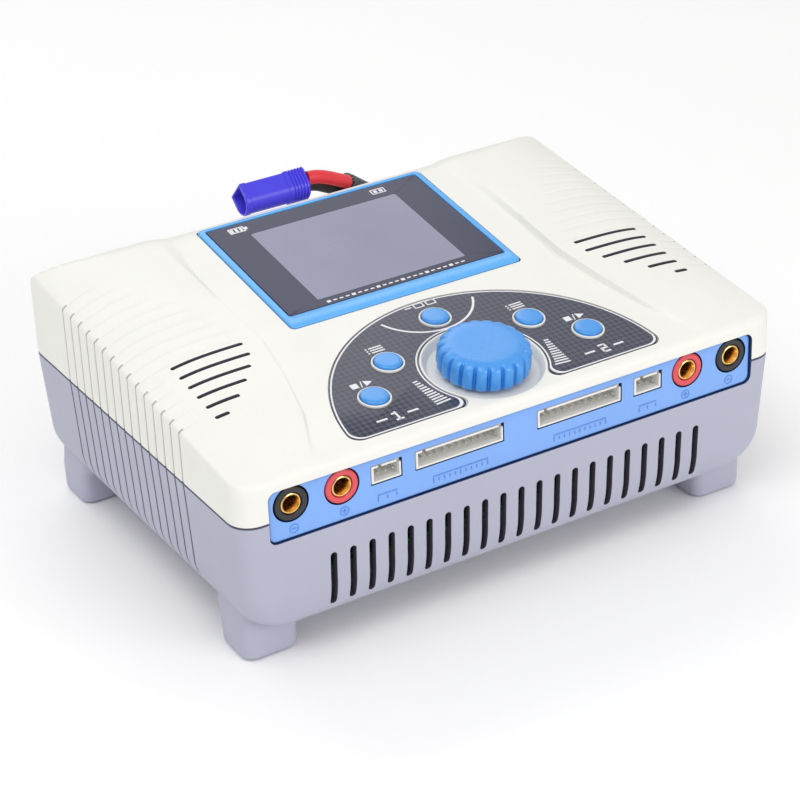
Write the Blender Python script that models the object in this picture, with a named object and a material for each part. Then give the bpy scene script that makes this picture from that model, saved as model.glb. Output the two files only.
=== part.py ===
"""A two-channel balance charger for model batteries, as an assembly of separate solids.

The object stands on Z = 0, with the origin under the middle of its case. Its front panel
faces -Y and its fans face +Y. The sizes below are millimetres, and MM turns them into the
scene's metres. The control deck slopes, so the pieces on it are placed in the deck's own
frame: U across, V up the slope from the front edge, W out of the surface.
"""

import math

import bpy
import bmesh
from mathutils import Vector

MM = 0.001
GAP = 0.3

# Case
CASE_W = 188.0
CASE_D = 140.0
WALL = 2.2
SEAM_Z = 50.6
FLOOR_Z = 11.8
CORNER_R = 7.0
DRAFT = math.tan(math.radians(3.2))
ROUND_Z = 25.6  # the lower case starts to round in below this height
ROUND_SIDE = 12.0
ROUND_FRONT = 5.5
FOOT_W = 18.0
FOOT_D = 17.0
FOOT_X = 81.0
FOOT_Y = (-51.5, 57.5)
FOOT_TOP = 20.0
POST_R = 4.2

# Control deck
DECK_Z = 64.15
DECK_ANGLE = math.radians(8.32)
DECK_RISE = math.tan(DECK_ANGLE)
FRONT_EDGE_R = 2.3
REAR_START = 51.5
REAR_DROP = 24.0
# Raised wings beside the deck: distance from the front edge, step line, raise, half step width
WING = (
    (0, 68.5, 0.0, 1.5),
    (8, 65.8, 0.5, 0.9),
    (22, 60.0, 1.5, 0.5),
    (40, 56.0, 2.2, 0.4),
    (58, 53.3, 2.4, 0.35),
    (80, 53.7, 2.1, 0.4),
    (104, 53.7, 1.6, 1.6),
    (114, 53.0, 1.3, 3.0),
    (140, 52.0, 1.1, 6.0),
)

# Slots
SLOT_COUNT = 21
SLOT_PITCH = 6.43
SLOT_W = 2.2
SLOT_Z = (15.6, 33.9)
VENT_FIRST = -38.4
VENT_PITCH = 5.45
VENT_W = 1.4
VENT_OUTER = 83.4
VENT_INNER = (78.7, 72.4, 67.1, 62.7, 60.0, 59.5)

# Front panel and its connectors
PANEL_W = 168.6
PANEL_Z = (43.3, 59.9)
PANEL_Y = -69.1
PANEL_T = 2.2
CONNECTOR_Z = 54.4
SOCKET_X = (("minus", 77.0), ("plus", 60.55))
BALANCE_X = 21.02
BALANCE_PINS = 11
TEMP_X = 45.81
TEMP_PINS = 3
PIN_PITCH = 2.5
HEADER_H = 5.75
HEADER_L = 8.6
SOCKET_R = 5.35

# Display
FRAME_U = 41.2
FRAME_V = (62.1, 124.2)
GLASS_U = 39.0
GLASS_V = (67.9, 122.5)

# Buttons and jog dial
BUTTONS = (
    ("button_tab", 0.0, 47.4),
    ("button_status_1", -25.0, 33.7),
    ("button_status_2", 25.0, 33.7),
    ("button_start_1", -37.6, 20.4),
    ("button_start_2", 37.6, 20.4),
)
BUTTON_R = 4.2
STEM_W = -7.7
COLLAR_R = 5.1
DIAL_V = 20.5
DIAL_R = 14.2
DISH_R = 18.5
LABEL_R = 19.3
LABEL_U = 54.0
LABEL_V = 53.2
LABEL_FOOT_V = 4.35
BOARD_W = -13.0  # top face of the control board

# Cooling
FAN_X = 53.0
FAN_Y = 55.0
FAN_Z = 32.3
FAN_SIDE = 35.0
FAN_DEPTH = 10.0
BLADES = 7

# Inside
BOARD_Z = 20.3  # underside of the main board
SCREW_SEAT = 10.5

# Input lead
LEAD_X = 26.0
LEAD_Z = 28.0
GLAND_END = 79.0
SLEEVE_R = 4.5
WIRE_R = 2.3
SLEEVE_GUIDES = (
    (26.0, 79.6, 28.0),
    (26.0, 90.8, 28.0),
    (38.4, 108.1, 23.8),
    (51.2, 114.3, 59.5),
    (65.6, 79.3, 63.3),
    (38.5, 67.6, 56.1),
    (32.5, 74.5, 70.0),
    (23.6, 72.2, 74.8),
)
RED_ROUTE = (
    (24.3, 70.5, 76.5),
    (20.0, 69.4, 78.8),
    (15.5, 68.8, 81.0),
    (11.5, 68.6, 82.3),
    (8.0, 68.6, 82.7),
)
BLACK_ROUTE = (
    (21.9, 73.7, 73.6),
    (17.8, 72.7, 75.8),
    (13.2, 72.2, 78.0),
    (8.0, 72.0, 79.1),
)
PLUG_X = (-16.5, 7.6)
PLUG_Y = 70.3
PLUG_Z = 80.9
PLUG_TILT = math.radians(-47.0)
PLUG_HALF_W = 4.8
PLUG_BACK = 3.6
PLUG_ROUND = 1.2


# ---------------------------------------------------------------- helpers


def clear_scene():
    for obj in list(bpy.data.objects):
        bpy.data.objects.remove(obj, do_unlink=True)


def make_material(name, colour, roughness, metallic=0.0):
    mat = bpy.data.materials.new(name)
    mat.use_nodes = True
    shader = mat.node_tree.nodes["Principled BSDF"]
    shader.inputs["Base Color"].default_value = (*colour, 1.0)
    shader.inputs["Roughness"].default_value = roughness
    shader.inputs["Metallic"].default_value = metallic
    mat.diffuse_color = (*colour, 1.0)
    return mat


def add_empty(name, location, tilt=0.0, parent=None):
    empty = bpy.data.objects.new(name, None)
    empty.empty_display_size = 0.01
    empty.location = Vector(location) * MM
    empty.rotation_euler = (tilt, 0.0, 0.0)
    empty.parent = parent
    bpy.context.collection.objects.link(empty)
    return empty


def add_object(name, bm, mat=None, at=(0, 0, 0), turn=(0, 0, 0), parent=None, smooth=None):
    """The bmesh, in millimetres, as an object. Round pieces give the angle that stays sharp."""
    bmesh.ops.recalc_face_normals(bm, faces=bm.faces)
    bmesh.ops.scale(bm, vec=(MM, MM, MM), verts=bm.verts)
    mesh = bpy.data.meshes.new(name)
    bm.to_mesh(mesh)
    bm.free()
    if smooth is not None:
        mesh.shade_smooth()
        mesh.set_sharp_from_angle(angle=math.radians(smooth))
    if mat is not None:
        mesh.materials.append(mat)
    obj = bpy.data.objects.new(name, mesh)
    obj.location = Vector(at) * MM
    obj.rotation_euler = turn
    obj.parent = parent
    bpy.context.collection.objects.link(obj)
    return obj


def copy_object(source, name, at, turn=(0, 0, 0), parent=None):
    obj = bpy.data.objects.new(name, source.data)
    obj.location = Vector(at) * MM
    obj.rotation_euler = turn
    obj.parent = parent
    bpy.context.collection.objects.link(obj)
    return obj


def hide_tool(obj):
    obj.hide_render = True
    obj.display_type = "WIRE"
    return obj


def combine(target, tool, operation):
    """Leave a Boolean on the target, with the tool hidden."""
    hide_tool(tool)
    modifier = target.modifiers.new(f"{operation.lower()}_{tool.name}", "BOOLEAN")
    modifier.operation = operation
    modifier.solver = "EXACT"
    modifier.object = tool


def cut(target, tool):
    combine(target, tool, "DIFFERENCE")


def fuse(target, tool):
    combine(target, tool, "UNION")


def loft(bm, rings, closed=False):
    """Skin a stack of rings that hold the same number of points. A closed stack meets itself."""
    rows = [[bm.verts.new(point) for point in ring] for ring in rings]
    pairs = list(zip(rows, rows[1:]))
    if closed:
        pairs.append((rows[-1], rows[0]))
    for low, high in pairs:
        count = len(low)
        for i in range(count):
            j = (i + 1) % count
            bm.faces.new((low[i], low[j], high[j], high[i]))
    if not closed:
        bm.faces.new(rows[0][::-1])
        bm.faces.new(rows[-1])
    return bm


def circle(radius, level, count=32, centre=(0.0, 0.0)):
    turns = [2 * math.pi * i / count for i in range(count)]
    return [
        (centre[0] + radius * math.cos(a), centre[1] + radius * math.sin(a), level) for a in turns
    ]


def turned(profile, count=32, closed=False, centre=(0.0, 0.0)):
    """A turned solid about Z, from (radius, level) pairs. A closed profile leaves a bore."""
    return loft(bmesh.new(), [circle(r, z, count, centre) for r, z in profile], closed)


def rounded_box(half_x, half_y, radius, level, steps=3, centre=(0.0, 0.0)):
    """A rectangle with round corners, as one ring at one level."""
    points = []
    for quarter, (sx, sy) in enumerate(((1, 1), (-1, 1), (-1, -1), (1, -1))):
        for k in range(steps + 1):
            angle = math.pi / 2 * (quarter + k / steps)
            x = centre[0] + sx * (half_x - radius) + radius * math.cos(angle)
            y = centre[1] + sy * (half_y - radius) + radius * math.sin(angle)
            points.append((x, y, level))
    return points


def box(bm, low, high):
    (x0, y0, z0), (x1, y1, z1) = low, high
    rings = [[(x0, y0, z), (x1, y0, z), (x1, y1, z), (x0, y1, z)] for z in (z0, z1)]
    return loft(bm, rings)


def box_object(name, low, high, mat=None, **place):
    return add_object(name, box(bmesh.new(), low, high), mat, **place)


def comb(count, pitch, tooth, back, tip, spine):
    """The outline of a comb in XY: teeth point to +Y from a spine that starts at -spine."""
    half = (count - 1) * pitch / 2
    points = [(-half - back, -spine), (half + back, -spine), (half + back, 0.0)]
    for i in reversed(range(count)):
        left = -half + i * pitch - tooth / 2
        right = left + tooth
        points += [(right, 0.0), (right, tip), (left, tip), (left, 0.0)]
    points.append((-half - back, 0.0))
    return points


def bezier_route(guides, count):
    """Points along one Bezier curve, which leaves and ends along its outer guides."""
    degree = len(guides) - 1
    out = []
    for i in range(count + 1):
        t = i / count
        point = Vector((0.0, 0.0, 0.0))
        for k, guide in enumerate(guides):
            point += math.comb(degree, k) * t**k * (1 - t) ** (degree - k) * Vector(guide)
        out.append(point)
    return out


def smooth_route(points, per_span):
    """Points read from a Catmull-Rom curve through the given ones."""
    route = [Vector(p) for p in points]
    route = [2 * route[0] - route[1], *route, 2 * route[-1] - route[-2]]
    out = []
    for a, b, c, d in zip(route, route[1:], route[2:], route[3:]):
        for k in range(per_span):
            t = k / per_span
            out.append(
                0.5
                * (
                    2 * b
                    + (c - a) * t
                    + (2 * a - 5 * b + 4 * c - d) * t**2
                    + (3 * b - a - 3 * c + d) * t**3
                )
            )
    out.append(route[-2])
    return out


def add_cord(name, route, radius, mat):
    curve = bpy.data.curves.new(name, "CURVE")
    curve.dimensions = "3D"
    curve.bevel_depth = radius * MM
    curve.bevel_resolution = 2
    curve.use_fill_caps = True
    spline = curve.splines.new("POLY")
    spline.points.add(len(route) - 1)
    for point, place in zip(spline.points, route):
        point.co = (*(place * MM), 1.0)
    curve.materials.append(mat)
    obj = bpy.data.objects.new(name, curve)
    bpy.context.collection.objects.link(obj)
    return obj


# ---------------------------------------------------------------- case


def wing_at(depth):
    """Step line, raise and half step width at a distance from the front edge."""
    for low, high in zip(WING, WING[1:]):
        if depth <= high[0]:
            t = max(0.0, (depth - low[0]) / (high[0] - low[0]))
            return [a + (b - a) * t for a, b in zip(low[1:], high[1:])]
    return list(WING[-1][1:])


def top_height(x, y, inset=0.0):
    """Height of the upper case over a point in plan. The inside runs one wall lower."""
    depth = y + CASE_D / 2
    line, lift, half = wing_at(depth)
    side = abs(x)
    rim = -0.35 - 0.04 * depth
    out = min(max((side - line) / (CASE_W / 2 - line), 0.0), 1.0)
    on_wing = min(max((side - line + half) / (2 * half), 0.0), 1.0)
    height = DECK_Z + DECK_RISE * depth + on_wing * (lift - (lift - rim) * out**4)
    if y > REAR_START:
        reach = min((y - REAR_START) / (CASE_D / 2 - REAR_START), 1.0)
        crest = DECK_Z + DECK_RISE * (REAR_START + CASE_D / 2) + on_wing * lift
        roll = REAR_DROP - inset
        height = min(height, crest - roll * (1 - math.sqrt(1 - reach**2)))
    if inset == 0.0 and depth < FRONT_EDGE_R:
        height -= FRONT_EDGE_R - math.sqrt(FRONT_EDGE_R**2 - (FRONT_EDGE_R - depth) ** 2)
    return height - inset


def round_corner(x, y):
    """Move a point of the rectangular plan onto the plan with round corners."""
    over_x = abs(x) - (CASE_W / 2 - CORNER_R)
    over_y = abs(y) - (CASE_D / 2 - CORNER_R)
    if over_x <= 0 or over_y <= 0:
        return x, y
    reach = max(over_x, over_y)
    angle = math.pi / 4 * over_y / over_x
    if over_y > over_x:
        angle = math.pi / 2 - math.pi / 4 * over_x / over_y
    new_x = CASE_W / 2 - CORNER_R + reach * math.cos(angle)
    new_y = CASE_D / 2 - CORNER_R + reach * math.sin(angle)
    return math.copysign(new_x, x), math.copysign(new_y, y)


def case_columns(depth):
    """X of the grid's columns: they follow the wing's step on each side."""
    line, _, half = wing_at(depth)
    edge = CASE_W / 2 - CORNER_R
    start = line + half
    right = [line - half, start, start + 0.55 * (edge - start)]
    right += [edge, edge + 2.4, edge + 4.8, CASE_W / 2]
    return [-x for x in reversed(right)] + [0.0] + right


def case_rows():
    """Y of the grid's rows: close together where the edges roll over."""
    front = [0.0, 0.6, FRONT_EDGE_R, 4.7, CORNER_R, 22, 40, 58, 104, 114]
    rear_span = CASE_D / 2 - REAR_START
    rear = [CASE_D / 2 - rear_span * (1 - math.sin(a)) for a in (0.0, 0.3, 0.6, 0.9, 1.25)]
    return [d - CASE_D / 2 for d in front] + rear + [CASE_D / 2]


def build_top_shell():
    """An open shell: the outer and inner skins share a flat rim at the seam."""
    bm = bmesh.new()
    rows = case_rows()
    skins = []
    for inset in (0.0, WALL):
        scale_x = 1 - 2 * inset / CASE_W
        scale_y = 1 - 2 * inset / CASE_D
        skin = []
        for y in rows:
            line = []
            for x in case_columns(y + CASE_D / 2):
                px, py = round_corner(x, y)
                line.append(bm.verts.new((px * scale_x, py * scale_y, top_height(px, py, inset))))
            skin.append(line)
        skins.append(skin)
    last_row = len(rows) - 1
    last_column = len(skins[0][0]) - 1
    around = [(0, i) for i in range(last_column)]
    around += [(j, last_column) for j in range(last_row)]
    around += [(last_row, i) for i in range(last_column, 0, -1)]
    around += [(j, 0) for j in range(last_row, 0, -1)]
    rims = []
    for skin in skins:
        for j in range(last_row):
            for i in range(last_column):
                bm.faces.new((skin[j][i], skin[j][i + 1], skin[j + 1][i + 1], skin[j + 1][i]))
        edge = [skin[j][i] for j, i in around]
        rim = [bm.verts.new((v.co.x, v.co.y, SEAM_Z + GAP / 2)) for v in edge]
        for k in range(len(edge)):
            n = (k + 1) % len(edge)
            bm.faces.new((edge[k], rim[k], rim[n], edge[n]))
        rims.append(rim)
    outer, inner = rims
    for k in range(len(outer)):
        n = (k + 1) % len(outer)
        bm.faces.new((outer[k], inner[k], inner[n], outer[n]))
    return bm


def arc(centre, radius, start, end, steps):
    """Points of an arc between two angles in degrees, both ends included."""
    angles = [math.radians(start + (end - start) * k / steps) for k in range(steps + 1)]
    return [(centre[0] + radius * math.cos(a), centre[1] + radius * math.sin(a)) for a in angles]


def label_outline(level, grow=0.0):
    """The arch of the control label: half an ellipse over a round opening for the jog dial."""
    outer_r, inner_r = 4.0, 3.0
    foot = LABEL_FOOT_V - grow
    ring = LABEL_R - grow
    semi_u, semi_v = LABEL_U + grow, LABEL_V + grow
    first = math.asin((outer_r - grow) / semi_v)
    outer_u = semi_u * math.cos(first) - outer_r
    outer_v = foot + outer_r
    inner_v = foot + inner_r
    inner_u = math.sqrt((ring + inner_r) ** 2 - (DIAL_V - inner_v) ** 2)
    low = math.degrees(math.atan2(DIAL_V - inner_v, inner_u))
    points = arc((outer_u, outer_v), outer_r, -90, 0, 3)
    for k in range(1, 22):
        a = first + (math.pi - 2 * first) * k / 22
        points.append((semi_u * math.cos(a), LABEL_FOOT_V + semi_v * math.sin(a)))
    points += arc((-outer_u, outer_v), outer_r, 180, 270, 3)
    points += arc((-inner_u, inner_v), inner_r, -90, low, 4)
    points += arc((0.0, DIAL_V), ring, 180 + low, -low, 18)[1:-1]
    points += arc((inner_u, inner_v), inner_r, 180 - low, 270, 4)
    return [(u, v, level) for u, v in points]


def slot_tool(bm, centre, length, width, low, high, steps=3):
    """A slot with round ends, lying along its own X, from one level to another."""
    half, r = length / 2 - width / 2, width / 2
    right = arc((centre[0] + half, centre[1]), r, -90, 90, steps)
    left = arc((centre[0] - half, centre[1]), r, 90, 270, steps)
    return loft(bm, [[(x, y, z) for x, y in right + left] for z in (low, high)])


def lower_ring(z, inset=0.0):
    """The plan of the lower case at a height: drafted walls that round in towards the floor."""
    drop = SEAM_Z - z
    lean = DRAFT * min(drop, SEAM_Z - ROUND_Z)
    below = max(ROUND_Z - z, 0.0) / (ROUND_Z - FLOOR_Z)
    curl = 1 - math.sqrt(max(1 - below**2, 0.0))
    half_x = CASE_W / 2 - inset - lean - ROUND_SIDE * curl
    half_y = CASE_D / 2 - inset - lean - ROUND_FRONT * curl
    return rounded_box(half_x, half_y, CORNER_R - inset + 2 * curl, z, steps=4)


def build_bottom_shell():
    levels = [SEAM_Z - GAP / 2, ROUND_Z, 19.4, 15.4, 12.9, FLOOR_Z]
    rings = [lower_ring(z) for z in reversed(levels)]
    inner_floor = FLOOR_Z + WALL
    for z in (SEAM_Z - GAP / 2, ROUND_Z, 19.0, 15.6, inner_floor):
        lift = (z - inner_floor) / (SEAM_Z - inner_floor)
        ring = lower_ring(z - WALL * (1 - lift), WALL)
        rings.append([(x, y, z) for x, y, _ in ring])
    return loft(bmesh.new(), rings)


def foot_tool(name, x, y):
    """A tapered foot with a rounded sole."""
    rings = []
    for z, shrink in ((0.0, 1.2), (0.6, 0.35), (1.6, 0.0), (FOOT_TOP, -0.9)):
        rings.append(rounded_box(FOOT_W / 2 - shrink, FOOT_D / 2 - shrink, 3.5, z))
    return add_object(name, loft(bmesh.new(), rings), at=(x, y, 0))


def panel_opening(name):
    half_h = (PANEL_Z[1] - PANEL_Z[0]) / 2 + GAP
    outline = rounded_box(PANEL_W / 2 + GAP, half_h, 2.5, 0, centre=(0, sum(PANEL_Z) / 2))
    rings = []
    for y in (-CASE_D / 2 - 2, -CASE_D / 2 + WALL + 1):
        rings.append([(x, y, z) for x, z, _ in outline])
    return add_object(name, loft(bmesh.new(), rings))


def build_top_case(mat, deck):
    case = add_object("top_case", build_top_shell(), mat, smooth=28)
    boss = turned([(DISH_R - 0.3, -1.0), (DISH_R - 0.3, -3.9)], 32)
    fuse(case, add_object("tool_dial_boss", boss, at=(0, DIAL_V, 0), parent=deck))
    for y in FOOT_Y:
        for side in (-1, 1):
            top = top_height(side * (FOOT_X + POST_R), y + POST_R) - WALL / 2
            post = turned([(POST_R - 0.2, FOOT_TOP + GAP), (POST_R, top)], 16)
            name = f"tool_post_{'front' if y < 0 else 'rear'}_{'left' if side < 0 else 'right'}"
            fuse(case, add_object(name, post, at=(side * FOOT_X, y, 0)))
    cut(case, panel_opening("tool_panel_upper"))

    vents = bmesh.new()
    for k, inner in enumerate(VENT_INNER):
        for side in (-1, 1):
            centre = (side * (VENT_OUTER + inner) / 2, VENT_FIRST + k * VENT_PITCH)
            slot_tool(vents, centre, VENT_OUTER - inner, VENT_W, 62.0, 78.0, 2)
    cut(case, add_object("tool_top_vents", vents))

    opening = loft(bmesh.new(), [
        rounded_box(FRAME_U + GAP, (FRAME_V[1] - FRAME_V[0]) / 2 + GAP, 1.6, w, 2, (0, sum(FRAME_V) / 2))
        for w in (-6, 3)
    ])
    cut(case, add_object("tool_display_opening", opening, parent=deck))

    pocket = loft(bmesh.new(), [label_outline(w, GAP) for w in (-0.8, 3)])
    pocket = add_object("tool_label_pocket", pocket, parent=deck)
    collars = bmesh.new()
    for _, u, v in BUTTONS:
        loft(collars, [circle(COLLAR_R, w, 18, (u, v)) for w in (-2, 4)])
    cut(pocket, add_object("tool_collars", collars, parent=deck))
    cut(case, pocket)

    holes = bmesh.new()
    for _, u, v in BUTTONS:
        loft(holes, [circle(BUTTON_R + GAP, w, 18, (u, v)) for w in (-6, 4)])
    cut(case, add_object("tool_button_holes", holes, parent=deck))

    dish = turned([(4.8, -8), (4.8, -2.6), (DISH_R - 1.2, -2.6), (DISH_R, 1)], 32)
    cut(case, add_object("tool_dial_dish", dish, at=(0, DIAL_V, 0), parent=deck))

    pilots = bmesh.new()
    for y in FOOT_Y:
        for side in (-1, 1):
            loft(pilots, [circle(1.8, z, 12, (side * FOOT_X, y)) for z in (FOOT_TOP - 2, 33)])
    cut(case, add_object("tool_pilot_holes", pilots))
    return case


def build_bottom_case(mat):
    case = add_object("bottom_case", build_bottom_shell(), mat, smooth=28)
    for y in FOOT_Y:
        for side in (-1, 1):
            name = f"tool_foot_{'front' if y < 0 else 'rear'}_{'left' if side < 0 else 'right'}"
            fuse(case, foot_tool(name, side * FOOT_X, y))
    pads = bmesh.new()
    for x in (-FAN_X, FAN_X):
        for dx in (-1, 1):
            for top in (-1, 1):
                place = (x + dx * 14.5, -(FAN_Z + top * 14.5))
                start = 5.0 + GAP
                loft(pads, [circle(2.4, z, 8, place) for z in (start, 11.0 if top < 0 else 13.4)])
    fuse(case, add_object("tool_fan_pads", pads, at=(0, FAN_Y, 0), turn=(-math.pi / 2, 0, 0)))
    standoffs = bmesh.new()
    for x in (-62, 62):
        for y in (-52, 40):
            loft(standoffs, [circle(3.0, z, 12, (x, y)) for z in (FLOOR_Z + 1, BOARD_Z - GAP)])
    fuse(case, add_object("tool_standoffs", standoffs))
    cut(case, panel_opening("tool_panel_lower"))

    slots = bmesh.new()
    for k in range(SLOT_COUNT):
        x = (k - (SLOT_COUNT - 1) / 2) * SLOT_PITCH
        middle = sum(SLOT_Z) / 2
        half, r = (SLOT_Z[1] - SLOT_Z[0]) / 2 - SLOT_W / 2, SLOT_W / 2
        outline = arc((x, middle + half), r, 0, 180, 3) + arc((x, middle - half), r, 180, 360, 3)
        loft(slots, [[(px, y, pz) for px, pz in outline] for y in (-72, -60)])
    cut(case, add_object("tool_front_slots", slots))

    grilles = bmesh.new()
    for x in (-FAN_X, FAN_X):
        for k in range(-2, 3):
            length = 2 * math.sqrt(15.5**2 - (6.0 * k) ** 2)
            slot_tool(grilles, (x, -FAN_Z + 6.0 * k), length, 3.4, 4.0, 20.0)
    grilles = add_object("tool_rear_grilles", grilles, at=(0, FAN_Y, 0), turn=(-math.pi / 2, 0, 0))
    cut(case, grilles)

    gland = turned([(5.6, -6), (5.6, 8)], 20)
    gland = add_object("tool_gland_hole", gland, at=(LEAD_X, 68, LEAD_Z), turn=(-math.pi / 2, 0, 0))
    cut(case, gland)

    screws = bmesh.new()
    for y in FOOT_Y:
        for side in (-1, 1):
            profile = ((3.3, -2), (3.3, SCREW_SEAT), (1.8, SCREW_SEAT), (1.8, FOOT_TOP + 2))
            loft(screws, [circle(r, z, 12, (side * FOOT_X, y)) for r, z in profile])
    cut(case, add_object("tool_screw_holes", screws))
    return case


def build_screws(mat):
    head = SCREW_SEAT - GAP
    profile = [(2.4, head - 2.4), (2.9, head - 1.8), (2.9, head), (1.5, head), (1.5, 32)]
    first = None
    for y in FOOT_Y:
        for side in (-1, 1):
            name = f"case_screw_{'front' if y < 0 else 'rear'}_{'left' if side < 0 else 'right'}"
            at = (side * FOOT_X, y, 0)
            if first is None:
                first = add_object(name, turned(profile, 10), mat, at=at, smooth=35)
            else:
                copy_object(first, name, at)


# ---------------------------------------------------------------- front panel


def build_front_panel(mat):
    """A plate in the front opening, with a wider flange behind the wall."""
    half_h = (PANEL_Z[1] - PANEL_Z[0]) / 2
    rings = []
    for y, side, below, above in (
        (PANEL_Y, 0, 0, 0),
        (PANEL_Y + PANEL_T, 0, 0, 0),
        (PANEL_Y + PANEL_T, 1.4, 1.4, 0.6),
        (PANEL_Y + 3.3, 1.4, 1.4, 0.6),
    ):
        middle = (0, sum(PANEL_Z) / 2 + (above - below) / 2)
        flat = rounded_box(PANEL_W / 2 + side, half_h + (above + below) / 2, 2.2, 0, centre=middle)
        rings.append([(x, y, z) for x, z, _ in flat])
    panel = add_object("front_panel", loft(bmesh.new(), rings), mat, smooth=30)
    holes = bmesh.new()
    for _, x in SOCKET_X:
        for side in (-1, 1):
            ring = circle(SOCKET_R + 0.45, 0, 20, (side * x, CONNECTOR_Z))
            loft(holes, [[(px, y, pz) for px, pz, _ in ring] for y in (-72, -60)])
    cut(panel, add_object("tool_socket_holes", holes))
    windows = bmesh.new()
    for x, pins in ((BALANCE_X, BALANCE_PINS), (TEMP_X, TEMP_PINS)):
        half = header_width(pins) / 2 + 0.35
        for side in (-1, 1):
            low = (side * x - half, -72, CONNECTOR_Z - HEADER_H / 2 - 0.35)
            box(windows, low, (side * x + half, -60, CONNECTOR_Z + HEADER_H / 2 + 0.35))
    cut(panel, add_object("tool_header_windows", windows))


def header_width(pins):
    return (pins - 1) * PIN_PITCH + 4.9


def build_sockets(red, black, gold):
    """Round output sockets: a coloured insulator around a gilt contact sleeve."""
    shell = [(3.5, 0.4), (4.8, 0.4), (SOCKET_R, -0.1), (SOCKET_R, -3.8), (7.0, -3.8), (7.0, -5.6),
             (SOCKET_R, -5.6), (SOCKET_R, -11.0), (3.5, -11.0)]
    sleeve = [(2.8, 0.0), (3.2, -0.4), (3.2, -12.8), (1.2, -12.8), (1.2, -11.5), (2.0, -11.5), (2.0, -1.8)]
    front = (math.pi / 2, 0, 0)
    for channel, side in ((1, -1), (2, 1)):
        for pole, x in SOCKET_X:
            at = (side * x, PANEL_Y + 0.1, CONNECTOR_Z)
            mat = red if pole == "plus" else black
            bm = turned(shell[::-1], 18, closed=True)
            add_object(f"output_socket_{channel}_{pole}", bm, mat, at=at, turn=front, smooth=35)
            bm = turned(sleeve[::-1], 14, closed=True)
            add_object(f"output_contact_{channel}_{pole}", bm, gold, at=at, turn=front, smooth=35)


def build_header(name, x, pins, shell_mat, pin_mat):
    """A pin header: an open-fronted shell with a polarising notch, and its row of pins."""
    half, high = header_width(pins) / 2, HEADER_H / 2
    front = (math.pi / 2, 0, 0)
    at = (x, PANEL_Y, CONNECTOR_Z)
    shell = box_object(name, (-half, -high, -HEADER_L), (half, high, 0), shell_mat, at=at, turn=front)
    hollow = box_object(f"tool_{name}_cavity", (-half + 0.8, -high + 0.8, -6.4),
                        (half - 0.8, high - 0.8, 2), at=at, turn=front)
    cut(shell, hollow)
    key = box_object(f"tool_{name}_key", (-half + 2.2, high - 1.4, -3.0), (-half + 4.2, high + 1, 2),
                     at=at, turn=front)
    cut(shell, key)
    outline = comb(pins, PIN_PITCH, 0.64, 0.6, 4.6, 0.8)
    rings = [[(px, w, py - 5.2) for px, py in outline] for w in (-0.32, 0.32)]
    add_object(name.replace("header", "pins"), loft(bmesh.new(), rings), pin_mat, at=at, turn=front)


# ---------------------------------------------------------------- deck


def build_display(frame_mat, glass_mat, module_mat, deck):
    mid = sum(FRAME_V) / 2
    half_v = (FRAME_V[1] - FRAME_V[0]) / 2
    glass_mid = sum(GLASS_V) / 2
    glass_half = (GLASS_V[1] - GLASS_V[0]) / 2
    rings = [
        rounded_box(FRAME_U, half_v, 1.6, -4.0, 2, (0, mid)),
        rounded_box(FRAME_U, half_v, 1.6, 0.1, 2, (0, mid)),
        rounded_box(FRAME_U - 0.4, half_v - 0.4, 1.4, 0.45, 2, (0, mid)),
        rounded_box(GLASS_U, glass_half, 1.0, 0.6, 2, (0, glass_mid)),
        rounded_box(GLASS_U, glass_half, 1.0, -1.0, 2, (0, glass_mid)),
        rounded_box(35, 24, 1.0, -1.0, 2, (0, glass_mid)),
        rounded_box(35, 24, 1.0, -4.0, 2, (0, glass_mid)),
    ]
    frame = add_object("display_frame", loft(bmesh.new(), rings, closed=True), frame_mat, parent=deck)
    for side in (-1, 1):
        low = (min(side * 39.8, side * 43.2), 68, -3.95)
        high = (max(side * 39.8, side * 43.2), 116, -2.7)
        name = f"tool_clip_{'left' if side < 0 else 'right'}"
        fuse(frame, box_object(name, low, high, parent=deck))
    inner_u, inner_v = GLASS_U - GAP, glass_half - GAP
    pane = [
        rounded_box(inner_u, inner_v, 0.8, -0.7, 2, (0, glass_mid)),
        rounded_box(inner_u, inner_v, 0.8, 0.3, 2, (0, glass_mid)),
        rounded_box(inner_u - 0.3, inner_v - 0.3, 0.8, 0.5, 2, (0, glass_mid)),
    ]
    add_object("display_window", loft(bmesh.new(), pane), glass_mat, parent=deck)
    box_object("lcd_module", (-33, 67.5, -7.5), (33, 119.5, -4.3), module_mat, parent=deck)


def build_label(mat, deck):
    label = loft(bmesh.new(), [label_outline(w) for w in (-0.5, -0.1)])
    label = add_object("control_label", label, mat, parent=deck)
    holes = bmesh.new()
    for _, u, v in BUTTONS:
        loft(holes, [circle(COLLAR_R + GAP, w, 18, (u, v)) for w in (-3, 3)])
    cut(label, add_object("tool_label_holes", holes, parent=deck))


def build_buttons(cap_mat, switch_mat, deck):
    cap = [(1.5, STEM_W), (1.5, -3.5), (5.0, -3.5), (5.0, -2.6), (BUTTON_R, -2.6), (BUTTON_R, 0.5),
           (BUTTON_R - 0.35, 0.95), (2.4, 1.2)]
    first = None
    for name, u, v in BUTTONS:
        if first is None:
            first = add_object(name, turned(cap, 16), cap_mat, at=(u, v, 0), parent=deck, smooth=35)
        else:
            copy_object(first, name, (u, v, 0), parent=deck)
    switch = None
    for name, u, v in BUTTONS:
        rings = [square_ring(3.0, w) for w in (GAP, 3.6)]
        rings += [circle(1.75, w, 8) for w in (3.6, 4.6)]
        name = name.replace("button", "switch")
        if switch is None:
            switch = add_object(name, loft(bmesh.new(), rings), switch_mat, at=(u, v, BOARD_W), parent=deck)
        else:
            copy_object(switch, name, (u, v, BOARD_W), parent=deck)


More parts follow.
